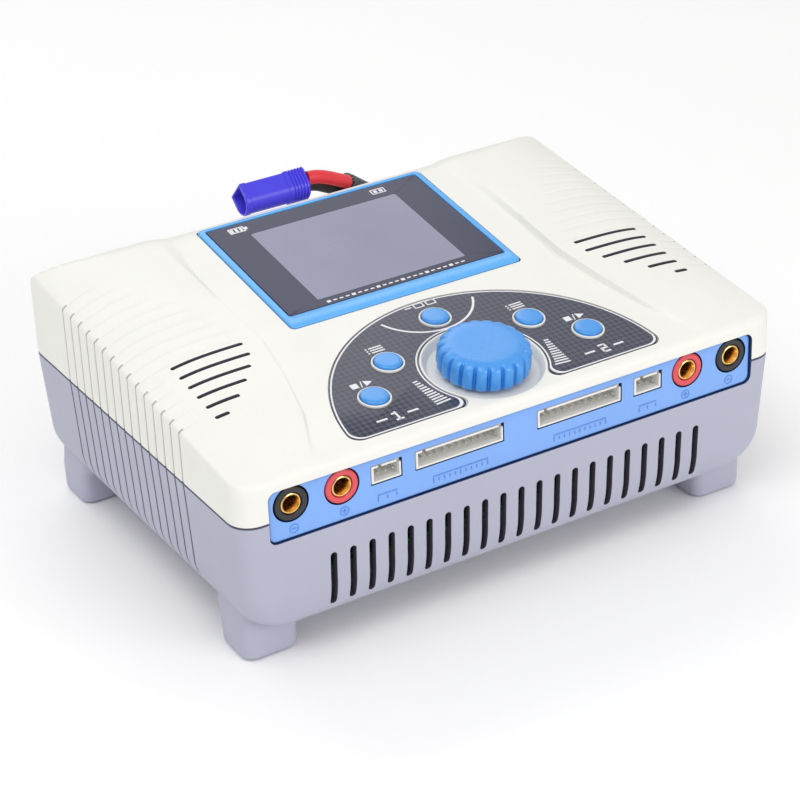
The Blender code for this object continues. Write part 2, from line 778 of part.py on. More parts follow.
def square_ring(half, level):
    """A square ring of eight points, so that it can be skinned to an octagon."""
    turns = ((1, 0), (1, 1), (0, 1), (-1, 1), (-1, 0), (-1, -1), (0, -1), (1, -1))
    return [(half * x, half * y, level) for x, y in turns]


def dial_ring(radius, level, groove, count=20):
    """One ring of the jog dial: full lobes with a finger groove between each two."""
    points = []
    for i in range(count):
        for part, depth in ((0.0, groove), (0.25, 0.0), (0.75, 0.0)):
            a = 2 * math.pi * (i + part) / count
            points.append(((radius - depth) * math.cos(a), (radius - depth) * math.sin(a), level))
    return points


def build_dial(dial_mat, metal, body_mat, rod_mat, deck):
    """The jog dial on its encoder: the shaft turns in the bush and presses the rod below it."""
    body = box_object("encoder_body", (-6.2, -6.6, BOARD_W + GAP), (6.2, 6.6, -6.3), body_mat,
                      at=(0, DIAL_V, 0), parent=deck)
    bush = turned([(4.5, -7.0), (4.5, -2.0)], 20)
    fuse(body, add_object("tool_bush", bush, at=(0, DIAL_V, 0), parent=deck))
    bore = turned([(1.8, -12.3), (1.8, -7.2), (3.3, -7.2), (3.3, 2)], 20)
    cut(body, add_object("tool_bush_bore", bore, at=(0, DIAL_V, 0), parent=deck))
    press = add_empty("jog_press", (0, DIAL_V, 0), parent=deck)
    rod = turned([(1.5, -11.6), (1.5, -6.8)], 12)
    add_object("encoder_plunger", rod, rod_mat, parent=press, smooth=35)
    shaft = turned([(3.0, -6.5), (3.0, 4.2), (2.7, 4.5)], 20)
    add_object("encoder_shaft", shaft, metal, parent=press, smooth=35)
    rings = [
        dial_ring(DIAL_R - 0.6, -1.2, 0.6),
        dial_ring(DIAL_R, -0.6, 0.7),
        dial_ring(DIAL_R, 5.0, 0.7),
        dial_ring(DIAL_R - 1.8, 7.2, 0.2),
        dial_ring(DIAL_R - 3.8, 6.6, 0.0),
    ]
    skin = loft(bmesh.new(), rings)
    dial = add_object("jog_knob", skin, dial_mat, parent=press, smooth=32)
    bore = turned([(3.3, -3), (3.3, 4.8)], 20)
    cut(dial, add_object("tool_dial_bore", bore, parent=press))


# ---------------------------------------------------------------- inside


def build_inside(board_mat, metal, dark, copper, deck):
    box_object("control_board", (-50, 12, BOARD_W - 1.6), (50, 118, BOARD_W), board_mat, parent=deck)
    box_object("main_board", (-69, -58, BOARD_Z), (69, 46, BOARD_Z + 1.6), board_mat)
    outline = comb(13, 8.0, 1.8, 1.2, 17.0, 3.0)
    rings = [[(x, y, BOARD_Z + 2 + 3.0 + z) for x, z in outline] for y in (-8, 40)]
    add_object("heatsink", loft(bmesh.new(), rings), metal)
    for side, x in (("left", -40.0), ("right", 40.0)):
        loop = turned([(r, z) for r, z in arc((8.6, 0), 3.6, 0, 315, 7)], 14, closed=True)
        at = (x, -34, BOARD_Z + 1.6 + GAP + 3.6)
        add_object(f"inductor_{side}", loop, copper, at=at, smooth=50)
    can = [(5.2, 0), (6.3, 0.4), (6.3, 15.6), (5.4, 16)]
    for side, x in (("left", -14.0), ("right", 14.0)):
        at = (x, -34, BOARD_Z + 1.6 + GAP)
        add_object(f"capacitor_{side}", turned(can, 16), dark, at=at, smooth=35)
    buzzer = [(4.5, 0), (4.5, 5), (1.2, 5), (1.2, 3.5)]
    add_object("buzzer", turned(buzzer, 16), dark, at=(-36, 52, BOARD_W + GAP), parent=deck, smooth=35)


def blade_tool(name, at, turn):
    """The fan's blades: flat vanes pitched about their own radius, each rooted in the hub."""
    bm = bmesh.new()
    pitch = math.radians(38)
    for k in range(BLADES):
        spin = 2 * math.pi * k / BLADES
        rings = []
        for r, half in ((5.0, 2.2), (14.2, 3.4)):
            ring = []
            for along, thick in ((-half, -0.4), (half, -0.4), (half, 0.4), (-half, 0.4)):
                across = along * math.cos(pitch) - thick * math.sin(pitch)
                level = along * math.sin(pitch) + thick * math.cos(pitch)
                x = r * math.cos(spin) - across * math.sin(spin)
                y = r * math.sin(spin) + across * math.cos(spin)
                ring.append((x, y, level))
            rings.append(ring)
        loft(bm, rings)
    return add_object(name, bm, at=at, turn=turn)


def build_fans(frame_mat, rotor_mat):
    back = (-math.pi / 2, 0, 0)
    for side, x in (("left", -FAN_X), ("right", FAN_X)):
        at = (x, FAN_Y, FAN_Z)
        low = (-FAN_SIDE / 2, -FAN_SIDE / 2, -FAN_DEPTH / 2)
        high = (FAN_SIDE / 2, FAN_SIDE / 2, FAN_DEPTH / 2)
        frame = box_object(f"fan_frame_{side}", low, high, frame_mat, at=at, turn=back)
        tunnel = turned([(15.2, -8), (15.2, 8)], 32)
        cut(frame, add_object(f"tool_tunnel_{side}", tunnel, at=at, turn=back))
        seat = turned([(7.0, -5.0), (7.0, -4.0)], 20)
        fuse(frame, add_object(f"tool_motor_seat_{side}", seat, at=at, turn=back))
        for k in (0, 1):
            half = (16.0, 0.9) if k == 0 else (0.9, 16.0)
            low, high = (-half[0], -half[1], -4.95), (half[0], half[1], -4.05)
            fuse(frame, box_object(f"tool_strut_{side}_{k}", low, high, at=at, turn=back))
        axis = add_empty(f"fan_axis_{side}", at)
        hub = turned([(7.0, -3.4), (7.0, 4.0), (6.2, 4.5)], 24)
        rotor = add_object(f"fan_rotor_{side}", hub, rotor_mat, turn=back, parent=axis, smooth=35)
        fuse(rotor, blade_tool(f"tool_blades_{side}", at, back))


# ---------------------------------------------------------------- input lead


def plug_ring(x, inset=0.0):
    """The plug's section: flat on one side, half round on the other, turned about X."""
    half = PLUG_HALF_W - inset
    flat = [(half, PLUG_BACK - inset), (-half, PLUG_BACK - inset)]
    below = [(a, b - PLUG_ROUND) for a, b in arc((0, 0), half, 180, 360, 10)]
    points = []
    for a, b in flat + below:
        y = a * math.cos(PLUG_TILT) - b * math.sin(PLUG_TILT)
        z = a * math.sin(PLUG_TILT) + b * math.cos(PLUG_TILT)
        points.append((x, PLUG_Y + y, PLUG_Z + z))
    return points


def build_lead(rubber, sleeve_mat, red, black, plug_mat, gold):
    gland = [(7.0, -3.4), (7.0, -2.5), (5.3, -2.5), (5.3, 1.8), (7.5, 1.8), (7.5, 3.6), (6.2, 4.6),
             (5.9, GLAND_END - 68)]
    at = (LEAD_X, 68, LEAD_Z)
    add_object("cable_gland", turned(gland, 20), rubber, at=at, turn=(-math.pi / 2, 0, 0), smooth=35)
    add_cord("input_lead_sleeve", bezier_route(SLEEVE_GUIDES, 40), SLEEVE_R, sleeve_mat)
    add_cord("input_wire_red", smooth_route(RED_ROUTE, 2), WIRE_R, red)
    add_cord("input_wire_black", smooth_route(BLACK_ROUTE, 2), WIRE_R, black)
    start, end = PLUG_X
    rings = [plug_ring(end), plug_ring(start), plug_ring(start, 0.9), plug_ring(end - 8, 0.9)]
    add_object("plug_housing", loft(bmesh.new(), rings), plug_mat, smooth=35)
    for pole, offset in (("minus", 2.1), ("plus", -2.1)):
        y = PLUG_Y + offset * math.cos(PLUG_TILT) - (-0.6) * math.sin(PLUG_TILT)
        z = PLUG_Z + offset * math.sin(PLUG_TILT) + (-0.6) * math.cos(PLUG_TILT)
        contact = turned([(1.75, 0), (1.75, 11), (1.3, 12)], 12)
        at = (end - 8 - GAP, y, z)
        add_object(f"plug_contact_{pole}", contact, gold, at=at, turn=(0, -math.pi / 2, 0), smooth=35)


def main():
    clear_scene()
    cream = make_material("cream_plastic", (0.86, 0.86, 0.82), 0.45)
    grey = make_material("grey_plastic", (0.42, 0.42, 0.56), 0.5)
    blue = make_material("blue_plastic", (0.16, 0.42, 0.86), 0.35)
    button_blue = make_material("button_plastic", (0.10, 0.36, 0.82), 0.3)
    glass = make_material("display_glass", (0.10, 0.11, 0.18), 0.08)
    label = make_material("label_film", (0.03, 0.04, 0.06), 0.4)
    white = make_material("connector_plastic", (0.85, 0.83, 0.76), 0.5)
    red = make_material("red_plastic", (0.75, 0.08, 0.08), 0.4)
    black = make_material("black_plastic", (0.02, 0.02, 0.025), 0.45)
    gold = make_material("gilt_brass", (0.90, 0.62, 0.25), 0.25, 1.0)
    steel = make_material("steel", (0.60, 0.60, 0.62), 0.3, 1.0)
    alu = make_material("aluminium", (0.75, 0.76, 0.78), 0.4, 1.0)
    copper = make_material("copper_winding", (0.70, 0.32, 0.15), 0.4, 1.0)
    board = make_material("circuit_board", (0.03, 0.22, 0.10), 0.5)
    violet = make_material("plug_plastic", (0.10, 0.08, 0.80), 0.35)
    silicone_red = make_material("red_silicone", (0.80, 0.05, 0.07), 0.5)
    braid = make_material("braided_sleeve", (0.03, 0.03, 0.03), 0.7)

    deck = add_empty("deck_frame", (0, -CASE_D / 2, DECK_Z), tilt=DECK_ANGLE)
    build_top_case(cream, deck)
    build_bottom_case(grey)
    build_screws(steel)
    build_front_panel(blue)
    build_sockets(red, black, gold)
    for channel, side in ((1, -1), (2, 1)):
        build_header(f"balance_header_{channel}", side * BALANCE_X, BALANCE_PINS, white, steel)
        build_header(f"temp_header_{channel}", side * TEMP_X, TEMP_PINS, white, steel)
    build_display(blue, glass, black, deck)
    build_label(label, deck)
    build_buttons(button_blue, black, deck)
    build_dial(button_blue, alu, steel, black, deck)
    build_inside(board, alu, black, copper, deck)
    build_fans(black, black)
    build_lead(black, braid, silicone_red, black, violet, gold)


main()
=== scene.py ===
import math

import bmesh
import bpy
from mathutils import Matrix, Vector


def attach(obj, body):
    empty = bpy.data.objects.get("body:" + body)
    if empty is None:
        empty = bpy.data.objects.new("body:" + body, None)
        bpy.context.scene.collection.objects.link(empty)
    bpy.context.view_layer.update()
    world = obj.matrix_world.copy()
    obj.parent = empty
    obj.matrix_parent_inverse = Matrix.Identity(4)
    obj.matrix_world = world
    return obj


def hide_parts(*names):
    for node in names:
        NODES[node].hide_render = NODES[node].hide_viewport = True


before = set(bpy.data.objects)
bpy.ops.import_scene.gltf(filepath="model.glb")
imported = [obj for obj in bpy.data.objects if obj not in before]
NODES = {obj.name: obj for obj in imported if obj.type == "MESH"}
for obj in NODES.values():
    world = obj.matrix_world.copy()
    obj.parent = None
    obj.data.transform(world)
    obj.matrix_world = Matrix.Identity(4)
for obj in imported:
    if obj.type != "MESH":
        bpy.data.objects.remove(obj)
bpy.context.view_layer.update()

# The looks of a two-channel balance charger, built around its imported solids. Sizes are
# millimetres, and MM turns them into the scene's metres. Pieces on the sloping control deck
# are placed in the deck's own frame: U across, V up the slope, W out of the surface.

MM = 0.001
GAP = 0.3

CASE_W, CASE_D, WALL = 188.0, 140.0, 2.2
SEAM_Z, FLOOR_Z, CORNER_R = 50.6, 11.8, 7.0
DRAFT = math.tan(math.radians(3.2))
ROUND_Z, ROUND_SIDE, ROUND_FRONT = 25.6, 12.0, 5.5
FOOT_W, FOOT_D, FOOT_X, FOOT_Y, FOOT_TOP = 18.0, 17.0, 81.0, (-51.5, 57.5), 20.0
POST_R = 4.2
DECK_Z, DECK_ANGLE = 64.15, math.radians(8.32)
DECK_RISE = math.tan(DECK_ANGLE)
FRONT_EDGE_R, RIM_R = 2.3, 0.7
REAR_START, REAR_DROP = 51.5, 24.0
# Raised wings beside the deck: distance from the front edge, step line, raise, half step width
WING = (
    (0, 68.5, 0.0, 1.5), (8, 65.8, 0.5, 0.9), (22, 60.0, 1.5, 0.5), (40, 56.0, 2.2, 0.4),
    (58, 53.3, 2.4, 0.35), (80, 53.7, 2.1, 0.4), (104, 53.7, 1.6, 1.6), (114, 53.0, 1.3, 3.0),
    (140, 52.0, 1.1, 6.0),
)
# Side grooves, and the fine lines that carry them over the top until they fade
GROOVES = [34.3 + 5.45 * k for k in range(15)]
LINE_ENDS = (85.5, 85.5, 85.5, 85.5, 85.5, 57.2, 57.6, 59.6, 61.8, 65.0, 67.0, 70.0, 72.5, 76.0, 81.5)
GROOVE_DEPTH, LINE_DEPTH = 0.6, 0.16
GROOVE_FLAT, GROOVE_FLANK = 0.22, 0.34

SLOT_COUNT, SLOT_PITCH, SLOT_W, SLOT_Z = 21, 6.43, 2.2, (15.6, 33.9)
VENT_FIRST, VENT_PITCH, VENT_W, VENT_OUTER = -38.4, 5.45, 1.4, 83.4
VENT_INNER = (78.7, 72.4, 67.1, 62.7, 60.0, 59.5)
PANEL_W, PANEL_Z, PANEL_Y, PANEL_T = 168.6, (43.3, 59.9), -69.1, 2.2
CONNECTOR_Z = 54.4
SOCKET_X = (("minus", 77.0), ("plus", 60.55))
SOCKET_R = 5.35
HEADERS = (("balance", 21.02, 11), ("temp", 45.81, 3))
PIN_PITCH, HEADER_H, HEADER_L = 2.5, 5.75, 8.6
LEGEND_Z, LEGEND_BAR_Z, LEGEND_SPAN = 46.2, 47.5, 0.62
FRAME_U, FRAME_V = 41.2, (62.1, 124.2)
GLASS_U, GLASS_V = 39.0, (67.9, 122.5)
BUTTONS = (
    ("tab", 0.0, 47.4), ("status_1", -25.0, 33.7), ("status_2", 25.0, 33.7),
    ("start_1", -37.6, 20.4), ("start_2", 37.6, 20.4),
)
BUTTON_R, STEM_W, COLLAR_R = 4.2, -7.7, 5.1
DIAL_V, DIAL_R, DISH_R = 20.5, 14.2, 18.5
LABEL_R, LABEL_U, LABEL_V, LABEL_FOOT_V = 19.3, 54.0, 53.2, 4.35
FAN_X, FAN_Y, FAN_Z, FAN_POST = 53.0, 55.0, 32.3, 14.5
GRILLE_R, GRILLE_PITCH = 15.5, 6.0
BOARD_POSTS = [(x, y) for x in (-62, 62) for y in (-52, 40)]
SCREW_SEAT, BOARD_Z = 10.5, 20.3
LEAD_X, LEAD_Z, SLEEVE_R, WIRE_R = 26.0, 28.0, 4.5, 2.3
GLAND_SEAT, GLAND_END, GLAND_HOLE_R = 68.0, 79.0, 5.6
# The sleeve follows one Bezier curve over these guides, the wires a smooth curve through theirs
SLEEVE_GUIDES = (
    (26.0, 79.6, 28.0), (26.0, 90.8, 28.0), (38.4, 108.1, 23.8), (51.2, 114.3, 59.5),
    (65.6, 79.3, 63.3), (38.5, 67.6, 56.1), (32.5, 74.5, 70.0), (23.6, 72.2, 74.8),
)
RED_ROUTE = (
    (24.3, 70.5, 76.5), (20.0, 69.4, 78.8), (15.5, 68.8, 81.0), (11.5, 68.6, 82.3), (8.0, 68.6, 82.7),
)
BLACK_ROUTE = ((21.9, 73.7, 73.6), (17.8, 72.7, 75.8), (13.2, 72.2, 78.0), (8.0, 72.0, 79.1))
PLUG_X, PLUG_Y, PLUG_Z, PLUG_TILT = (-16.5, 7.6), 70.3, 80.9, math.radians(-47.0)
PLUG_HALF_W, PLUG_BACK, PLUG_ROUND, PLUG_EASE = 4.8, 3.6, 1.2, 0.5
PLUG_RIBS, PLUG_RIB_PITCH, PLUG_CONTACT_APART, PLUG_CONTACT_DROP = 5, 1.15, 4.2, 0.6

DECK = Matrix.Translation((0, -CASE_D / 2 * MM, DECK_Z * MM)) @ Matrix.Rotation(DECK_ANGLE, 4, "X")
FRONT = Matrix.Rotation(math.pi / 2, 4, "X")
BACK = Matrix.Rotation(-math.pi / 2, 4, "X")


def placed(x, y, z):
    return Matrix.Translation((x * MM, y * MM, z * MM))


# ---------------------------------------------------------------- camera


def add_camera():
    data = bpy.data.cameras.new("camera")
    data.sensor_width = 36.0
    data.lens = 114.66
    data.clip_start = 0.01
    camera = bpy.data.objects.new("camera", data)
    right = Vector((0.85259, -0.52123, -0.03750))
    up = Vector((0.2764, 0.3889, 0.8789))
    back = right.cross(up).normalized()
    up = back.cross(right).normalized()
    turn = Matrix((right.normalized(), up, back)).transposed().to_4x4()
    camera.matrix_world = Matrix.Translation((-0.35795, -0.61305, 0.41630)) @ turn
    bpy.context.collection.objects.link(camera)
    bpy.context.scene.camera = camera


# ---------------------------------------------------------------- materials


class Shader:
    """A Principled material, with short calls for the nodes that feed it."""

    def __init__(self, name, colour, roughness=0.5, metallic=0.0, **inputs):
        self.material = bpy.data.materials.new(name)
        self.material.use_nodes = True
        self.tree = self.material.node_tree
        self.main = self.tree.nodes["Principled BSDF"]
        self.main.inputs["Base Color"].default_value = (*colour, 1.0)
        self.main.inputs["Roughness"].default_value = roughness
        self.main.inputs["Metallic"].default_value = metallic
        for key, value in inputs.items():
            self.main.inputs[key.replace("_", " ")].default_value = value
        self.material.diffuse_color = (*colour, 1.0)
        self.colour = colour
        self.roughness = roughness
        self.where = self.node("ShaderNodeTexCoord").outputs["Object"]

    def node(self, kind, **settings):
        made = self.tree.nodes.new(kind)
        for key, value in settings.items():
            setattr(made, key, value)
        return made

    def link(self, a, b):
        self.tree.links.new(a, b)

    def noise(self, scale, detail=2.0, source=None, distortion=0.0):
        made = self.node("ShaderNodeTexNoise")
        made.inputs["Scale"].default_value = scale
        made.inputs["Detail"].default_value = detail
        made.inputs["Distortion"].default_value = distortion
        self.link(source or self.where, made.inputs["Vector"])
        return made.outputs["Fac"]

    def fit(self, value, low, high, start=0.3, end=0.7):
        made = self.node("ShaderNodeMapRange")
        made.inputs["From Min"].default_value = start
        made.inputs["From Max"].default_value = end
        made.inputs["To Min"].default_value = low
        made.inputs["To Max"].default_value = high
        self.link(value, made.inputs["Value"])
        return made.outputs["Result"]

    def math(self, operation, *values):
        made = self.node("ShaderNodeMath", operation=operation)
        for socket, value in zip(made.inputs, values):
            if isinstance(value, (int, float)):
                socket.default_value = value
            else:
                self.link(value, socket)
        return made.outputs[0]

    def blend(self, factor, low, high):
        made = self.node("ShaderNodeMix", data_type="RGBA")
        for key, value in (("A", low), ("B", high)):
            socket = [s for s in made.inputs if s.name == key and s.type == "RGBA"][0]
            if isinstance(value, tuple):
                socket.default_value = (*value, 1.0)
            else:
                self.link(value, socket)
        self.link(factor, made.inputs["Factor"])
        return [s for s in made.outputs if s.type == "RGBA"][0]

    def paint(self, value):
        self.link(value, self.main.inputs["Base Color"])

    def rough(self, value):
        self.link(value, self.main.inputs["Roughness"])

    def bump(self, value, strength, distance):
        made = self.node("ShaderNodeBump")
        made.inputs["Strength"].default_value = strength
        made.inputs["Distance"].default_value = distance
        self.link(value, made.inputs["Height"])
        before = self.main.inputs["Normal"].links
        if before:
            self.link(before[0].from_socket, made.inputs["Normal"])
        self.link(made.outputs["Normal"], self.main.inputs["Normal"])


def shade(colour, factor):
    return tuple(min(1.0, c * factor) for c in colour)


def plastic(name, colour, roughness, grain=2600.0, depth=0.00002, drift=0.04, **inputs):
    """Moulded plastic: fine spark-eroded grain, slow drift of tone, uneven gloss and dust."""
    s = Shader(name, colour, roughness, **inputs)
    s.bump(s.noise(grain, 3.0), 0.5, depth)
    slow = s.fit(s.noise(28.0, 3.0), 0.0, 1.0)
    base = s.blend(slow, shade(colour, 1 - drift), shade(colour, 1 + drift))
    specks = s.fit(s.noise(900.0, 2.0), 0.0, 0.35, 0.66, 0.78)
    s.paint(s.blend(specks, base, shade(colour, 0.86)))
    s.rough(s.fit(s.noise(70.0, 4.0), roughness - 0.06, roughness + 0.07))
    return s.material


def metal(name, colour, roughness, scratch=400.0, stretch=(1, 1, 12)):
    s = Shader(name, colour, roughness, 1.0)
    lines = s.node("ShaderNodeMapping")
    lines.inputs["Scale"].default_value = stretch
    s.link(s.where, lines.inputs["Vector"])
    streak = s.noise(scratch, 4.0, lines.outputs["Vector"])
    s.rough(s.fit(streak, roughness - 0.07, roughness + 0.12))
    s.bump(streak, 0.15, 0.00002)
    tone = s.fit(s.noise(180.0, 3.0), 0.0, 1.0)
    s.paint(s.blend(tone, shade(colour, 0.86), colour))
    return s.material


def woven_label(name):
    """Printed film that imitates a carbon weave: small diagonal cells, alternately darker."""
    dark, light = (0.022, 0.024, 0.045), (0.062, 0.066, 0.110)
    s = Shader(name, dark, 0.36, Coat_Weight=0.25, Coat_Roughness=0.25)
    cells = s.node("ShaderNodeMapping")
    cells.inputs["Scale"].default_value = (1 / 0.0019, 1 / 0.0019, 1 / 0.0019)
    s.link(s.where, cells.inputs["Vector"])
    split = s.node("ShaderNodeSeparateXYZ")
    s.link(cells.outputs["Vector"], split.inputs[0])
    x, y = split.outputs["X"], split.outputs["Y"]
    across = s.math("SINE", s.math("MULTIPLY", s.math("ADD", x, y), math.pi))
    along = s.math("SINE", s.math("MULTIPLY", s.math("SUBTRACT", x, y), math.pi))
    weave = s.math("MULTIPLY", across, along)
    factor = s.fit(weave, 0.0, 1.0, -0.35, 0.35)
    s.paint(s.blend(factor, dark, light))
    s.rough(s.fit(weave, 0.30, 0.42, -1.0, 1.0))
    s.bump(factor, 0.25, 0.00003)
    s.bump(s.noise(3000.0), 0.15, 0.00001)
    return s.material


def braid(name):
    """Black braided sleeve: two families of flat strands that cross, with lighter flecks."""
    s = Shader(name, (0.02, 0.02, 0.022), 0.62, Sheen_Weight=0.3, Sheen_Roughness=0.4)
    uv = s.node("ShaderNodeUVMap", uv_map="UVMap").outputs["UV"]
    split = s.node("ShaderNodeSeparateXYZ")
    s.link(uv, split.inputs[0])
    u, v = split.outputs["X"], split.outputs["Y"]
    turns, pitch = 10.0, 2 * math.pi * 340.0
    ring = s.math("MULTIPLY", u, 2 * math.pi * turns)
    lay = s.math("MULTIPLY", v, pitch)
    one = s.math("SINE", s.math("ADD", ring, lay))
    two = s.math("SINE", s.math("SUBTRACT", ring, lay))
    over = s.math("MAXIMUM", s.math("ABSOLUTE", one), s.math("ABSOLUTE", two))
    height = s.math("MULTIPLY", s.math("ABSOLUTE", one), s.math("ABSOLUTE", two))
    s.bump(height, 1.0, 0.0006)
    fleck = s.fit(s.noise(1500.0, 2.0), 0.0, 1.0, 0.52, 0.66)
    crown = s.math("MULTIPLY", s.fit(height, 0.0, 1.0, 0.25, 0.8), fleck)
    s.paint(s.blend(crown, (0.008, 0.008, 0.010), (0.16, 0.16, 0.18)))
    s.rough(s.fit(over, 0.75, 0.5, 0.0, 1.0))
    return s.material


def silicone(name, colour):
    s = Shader(name, colour, 0.38, Subsurface_Weight=0.05, Coat_Weight=0.15, Coat_Roughness=0.3)
    s.main.inputs["Subsurface Radius"].default_value = (0.002, 0.0006, 0.0004)
    dust = s.fit(s.noise(500.0, 3.0), 0.0, 0.25, 0.55, 0.75)
    s.paint(s.blend(dust, colour, shade(colour, 0.7)))
    s.rough(s.fit(s.noise(120.0, 3.0), 0.32, 0.46))
    s.bump(s.noise(1800.0), 0.2, 0.00002)
    return s.material


def circuit_board(name):
    """Green solder mask over a faint pattern of copper tracks and pale pads."""
    s = Shader(name, (0.02, 0.16, 0.07), 0.35, Coat_Weight=0.3, Coat_Roughness=0.2)
    tracks = s.node("ShaderNodeTexVoronoi", feature="DISTANCE_TO_EDGE")
    tracks.inputs["Scale"].default_value = 220.0
    s.link(s.where, tracks.inputs["Vector"])
    line = s.fit(tracks.outputs["Distance"], 1.0, 0.0, 0.03, 0.06)
    base = s.blend(line, (0.012, 0.13, 0.055), (0.05, 0.30, 0.13))
    pads = s.node("ShaderNodeTexVoronoi")
    pads.inputs["Scale"].default_value = 160.0
    s.link(s.where, pads.inputs["Vector"])
    dots = s.fit(pads.outputs["Distance"], 1.0, 0.0, 0.10, 0.14)
    s.paint(s.blend(dots, base, (0.62, 0.60, 0.52)))
    s.bump(line, 0.3, 0.00005)
    return s.material


def winding(name):
    """Enamelled copper wire, wound side by side."""
    s = Shader(name, (0.66, 0.27, 0.11), 0.3, 0.9)
    wave = s.node("ShaderNodeTexWave", wave_type="RINGS", rings_direction="Z")
    wave.inputs["Scale"].default_value = 260.0
    s.link(s.where, wave.inputs["Vector"])
    s.bump(wave.outputs["Fac"], 0.8, 0.0004)
    # Dark in the valleys between the turns and lighter on their crowns: painted shade and highlight.
    s.paint(s.blend(wave.outputs["Fac"], (0.34, 0.11, 0.04), (0.74, 0.33, 0.15)))
    return s.material


def display_glass(name, colour, shine):
    """Smoked acrylic, printed from behind, with faint smears and fine scratches on its face."""
    s = Shader(name, colour, 0.3, Specular_IOR_Level=0.22)
    smear = s.noise(26.0, 2.0, distortion=0.6)
    s.rough(s.fit(smear, shine - 0.03, shine + 0.02))
    s.paint(s.blend(s.fit(s.noise(22.0, 2.0), 0.0, 1.0), shade(colour, 0.93), shade(colour, 1.07)))
    s.bump(s.noise(1400.0, 2.0), 0.04, 0.00001)
    return s.material


def make_materials():
    return {
        "cream": plastic("cream_shell", (0.82, 0.815, 0.77), 0.42, drift=0.012),
        # Darker beige for the side grooves of the cream upper case: painted shade in the grooves.
        "beige": plastic("cream_groove_painted_shade", (0.47, 0.455, 0.41), 0.5, drift=0.03),
        "grey": plastic("grey_shell", (0.425, 0.43, 0.535), 0.45, drift=0.02),
        # Dark slate for the lower case's side grooves and for the seam lip between the halves: painted
        # shade.
        "slate": plastic("slate_groove_painted_shade", (0.115, 0.115, 0.175), 0.55, drift=0.08),
        # Near black on the walls of vents, slots, screw holes and grille: painted shade inside the openings.
        "slot": plastic("slot_wall_painted_shade", (0.085, 0.075, 0.105), 0.6, drift=0.08),
        # Dark navy on the cut faces of the panel and display openings and of the connector holes: painted
        # shade in the gaps.
        "navy": plastic("navy_painted_shade", (0.012, 0.035, 0.13), 0.5, drift=0.08),
        "panel": plastic("panel_blue", (0.20, 0.40, 0.86), 0.36, drift=0.025, Coat_Weight=0.1),
        "legend": plastic("legend_blue", (0.10, 0.25, 0.68), 0.42, drift=0.02),
        "sky": plastic("frame_blue", (0.095, 0.41, 0.87), 0.27, drift=0.02, Coat_Weight=0.2),
        "button": plastic("button_blue", (0.050, 0.30, 0.76), 0.24, depth=0.000008, drift=0.02,
                          Coat_Weight=0.35, Coat_Roughness=0.15),
        "dial": plastic("dial_blue", (0.055, 0.30, 0.77), 0.26, depth=0.000008, drift=0.025,
                        Coat_Weight=0.3, Coat_Roughness=0.18),
        "glass": display_glass("smoked_glass", (0.048, 0.050, 0.092), 0.22),
        "lcd": display_glass("lcd_pane", (0.27, 0.275, 0.37), 0.3),
        "label": woven_label("label_weave"),
        "ink": plastic("white_ink", (0.78, 0.78, 0.80), 0.45, drift=0.02),
        "nylon": plastic("white_nylon", (0.80, 0.79, 0.76), 0.48, drift=0.02, Subsurface_Weight=0.05),
        "red": plastic("red_moulding", (0.70, 0.07, 0.09), 0.36, drift=0.04, Coat_Weight=0.15),
        "black": plastic("black_moulding", (0.018, 0.018, 0.022), 0.4, drift=0.1),
        "gold": metal("gilt_contact", (0.95, 0.63, 0.24), 0.2),
        "steel": metal("plated_steel", (0.62, 0.62, 0.64), 0.28),
        "tin": metal("tinned_pin", (0.80, 0.79, 0.76), 0.22),
        "alu": metal("bare_aluminium", (0.74, 0.75, 0.77), 0.36),
        "board": circuit_board("solder_mask"),
        "copper": winding("copper_winding"),
        "plug": plastic("plug_violet", (0.060, 0.045, 0.72), 0.33, drift=0.05, Coat_Weight=0.1),
        "red_wire": silicone("red_silicone", (0.74, 0.025, 0.04)),
        "black_wire": silicone("black_silicone", (0.018, 0.018, 0.02)),
        "braid": braid("braided_sleeve"),
        "rubber": plastic("gland_rubber", (0.02, 0.02, 0.022), 0.6, drift=0.1),
    }


# ---------------------------------------------------------------- meshes


def piece(name, bm, mats, matrix=None, smooth=30, body="case", nodes=(), slot=None):
    """The bmesh, in millimetres, as an object that rides on a CAD body."""
    bmesh.ops.recalc_face_normals(bm, faces=bm.faces)
    obj = raw_object(name, bm, mats, matrix)
    finish_piece(obj, smooth, body, nodes)
    return obj


def raw_object(name, bm, mats, matrix=None):
    bmesh.ops.scale(bm, vec=(MM, MM, MM), verts=bm.verts)
    if matrix is not None:
        bmesh.ops.transform(bm, matrix=matrix, verts=bm.verts)
    mesh = bpy.data.meshes.new(name)
    bm.to_mesh(mesh)
    bm.free()
    for mat in mats if isinstance(mats, (list, tuple)) else [mats]:
        mesh.materials.append(mat)
    obj = bpy.data.objects.new(name, mesh)
    bpy.context.collection.objects.link(obj)
    return obj


def finish_piece(obj, smooth, body, nodes):
    if smooth:
        obj.data.shade_smooth()
        obj.data.set_sharp_from_angle(angle=math.radians(smooth))
    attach(obj, body)
    if nodes:
        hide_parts(*nodes)


def carve(obj, bm, mat, matrix=None, operation="DIFFERENCE"):
    """Cut or join the tool, and keep its material on the faces that it leaves."""
    bmesh.ops.recalc_face_normals(bm, faces=bm.faces)
    tool = raw_object("tool", bm, mat, matrix)
    modifier = obj.modifiers.new("carve", "BOOLEAN")
    modifier.operation = operation
    modifier.solver = "EXACT"
    modifier.material_mode = "TRANSFER"
    modifier.object = tool
    bpy.context.view_layer.update()
    graph = bpy.context.evaluated_depsgraph_get()
    mesh = bpy.data.meshes.new_from_object(obj.evaluated_get(graph))
    obj.modifiers.clear()
    obj.data = mesh
    bpy.data.objects.remove(tool)


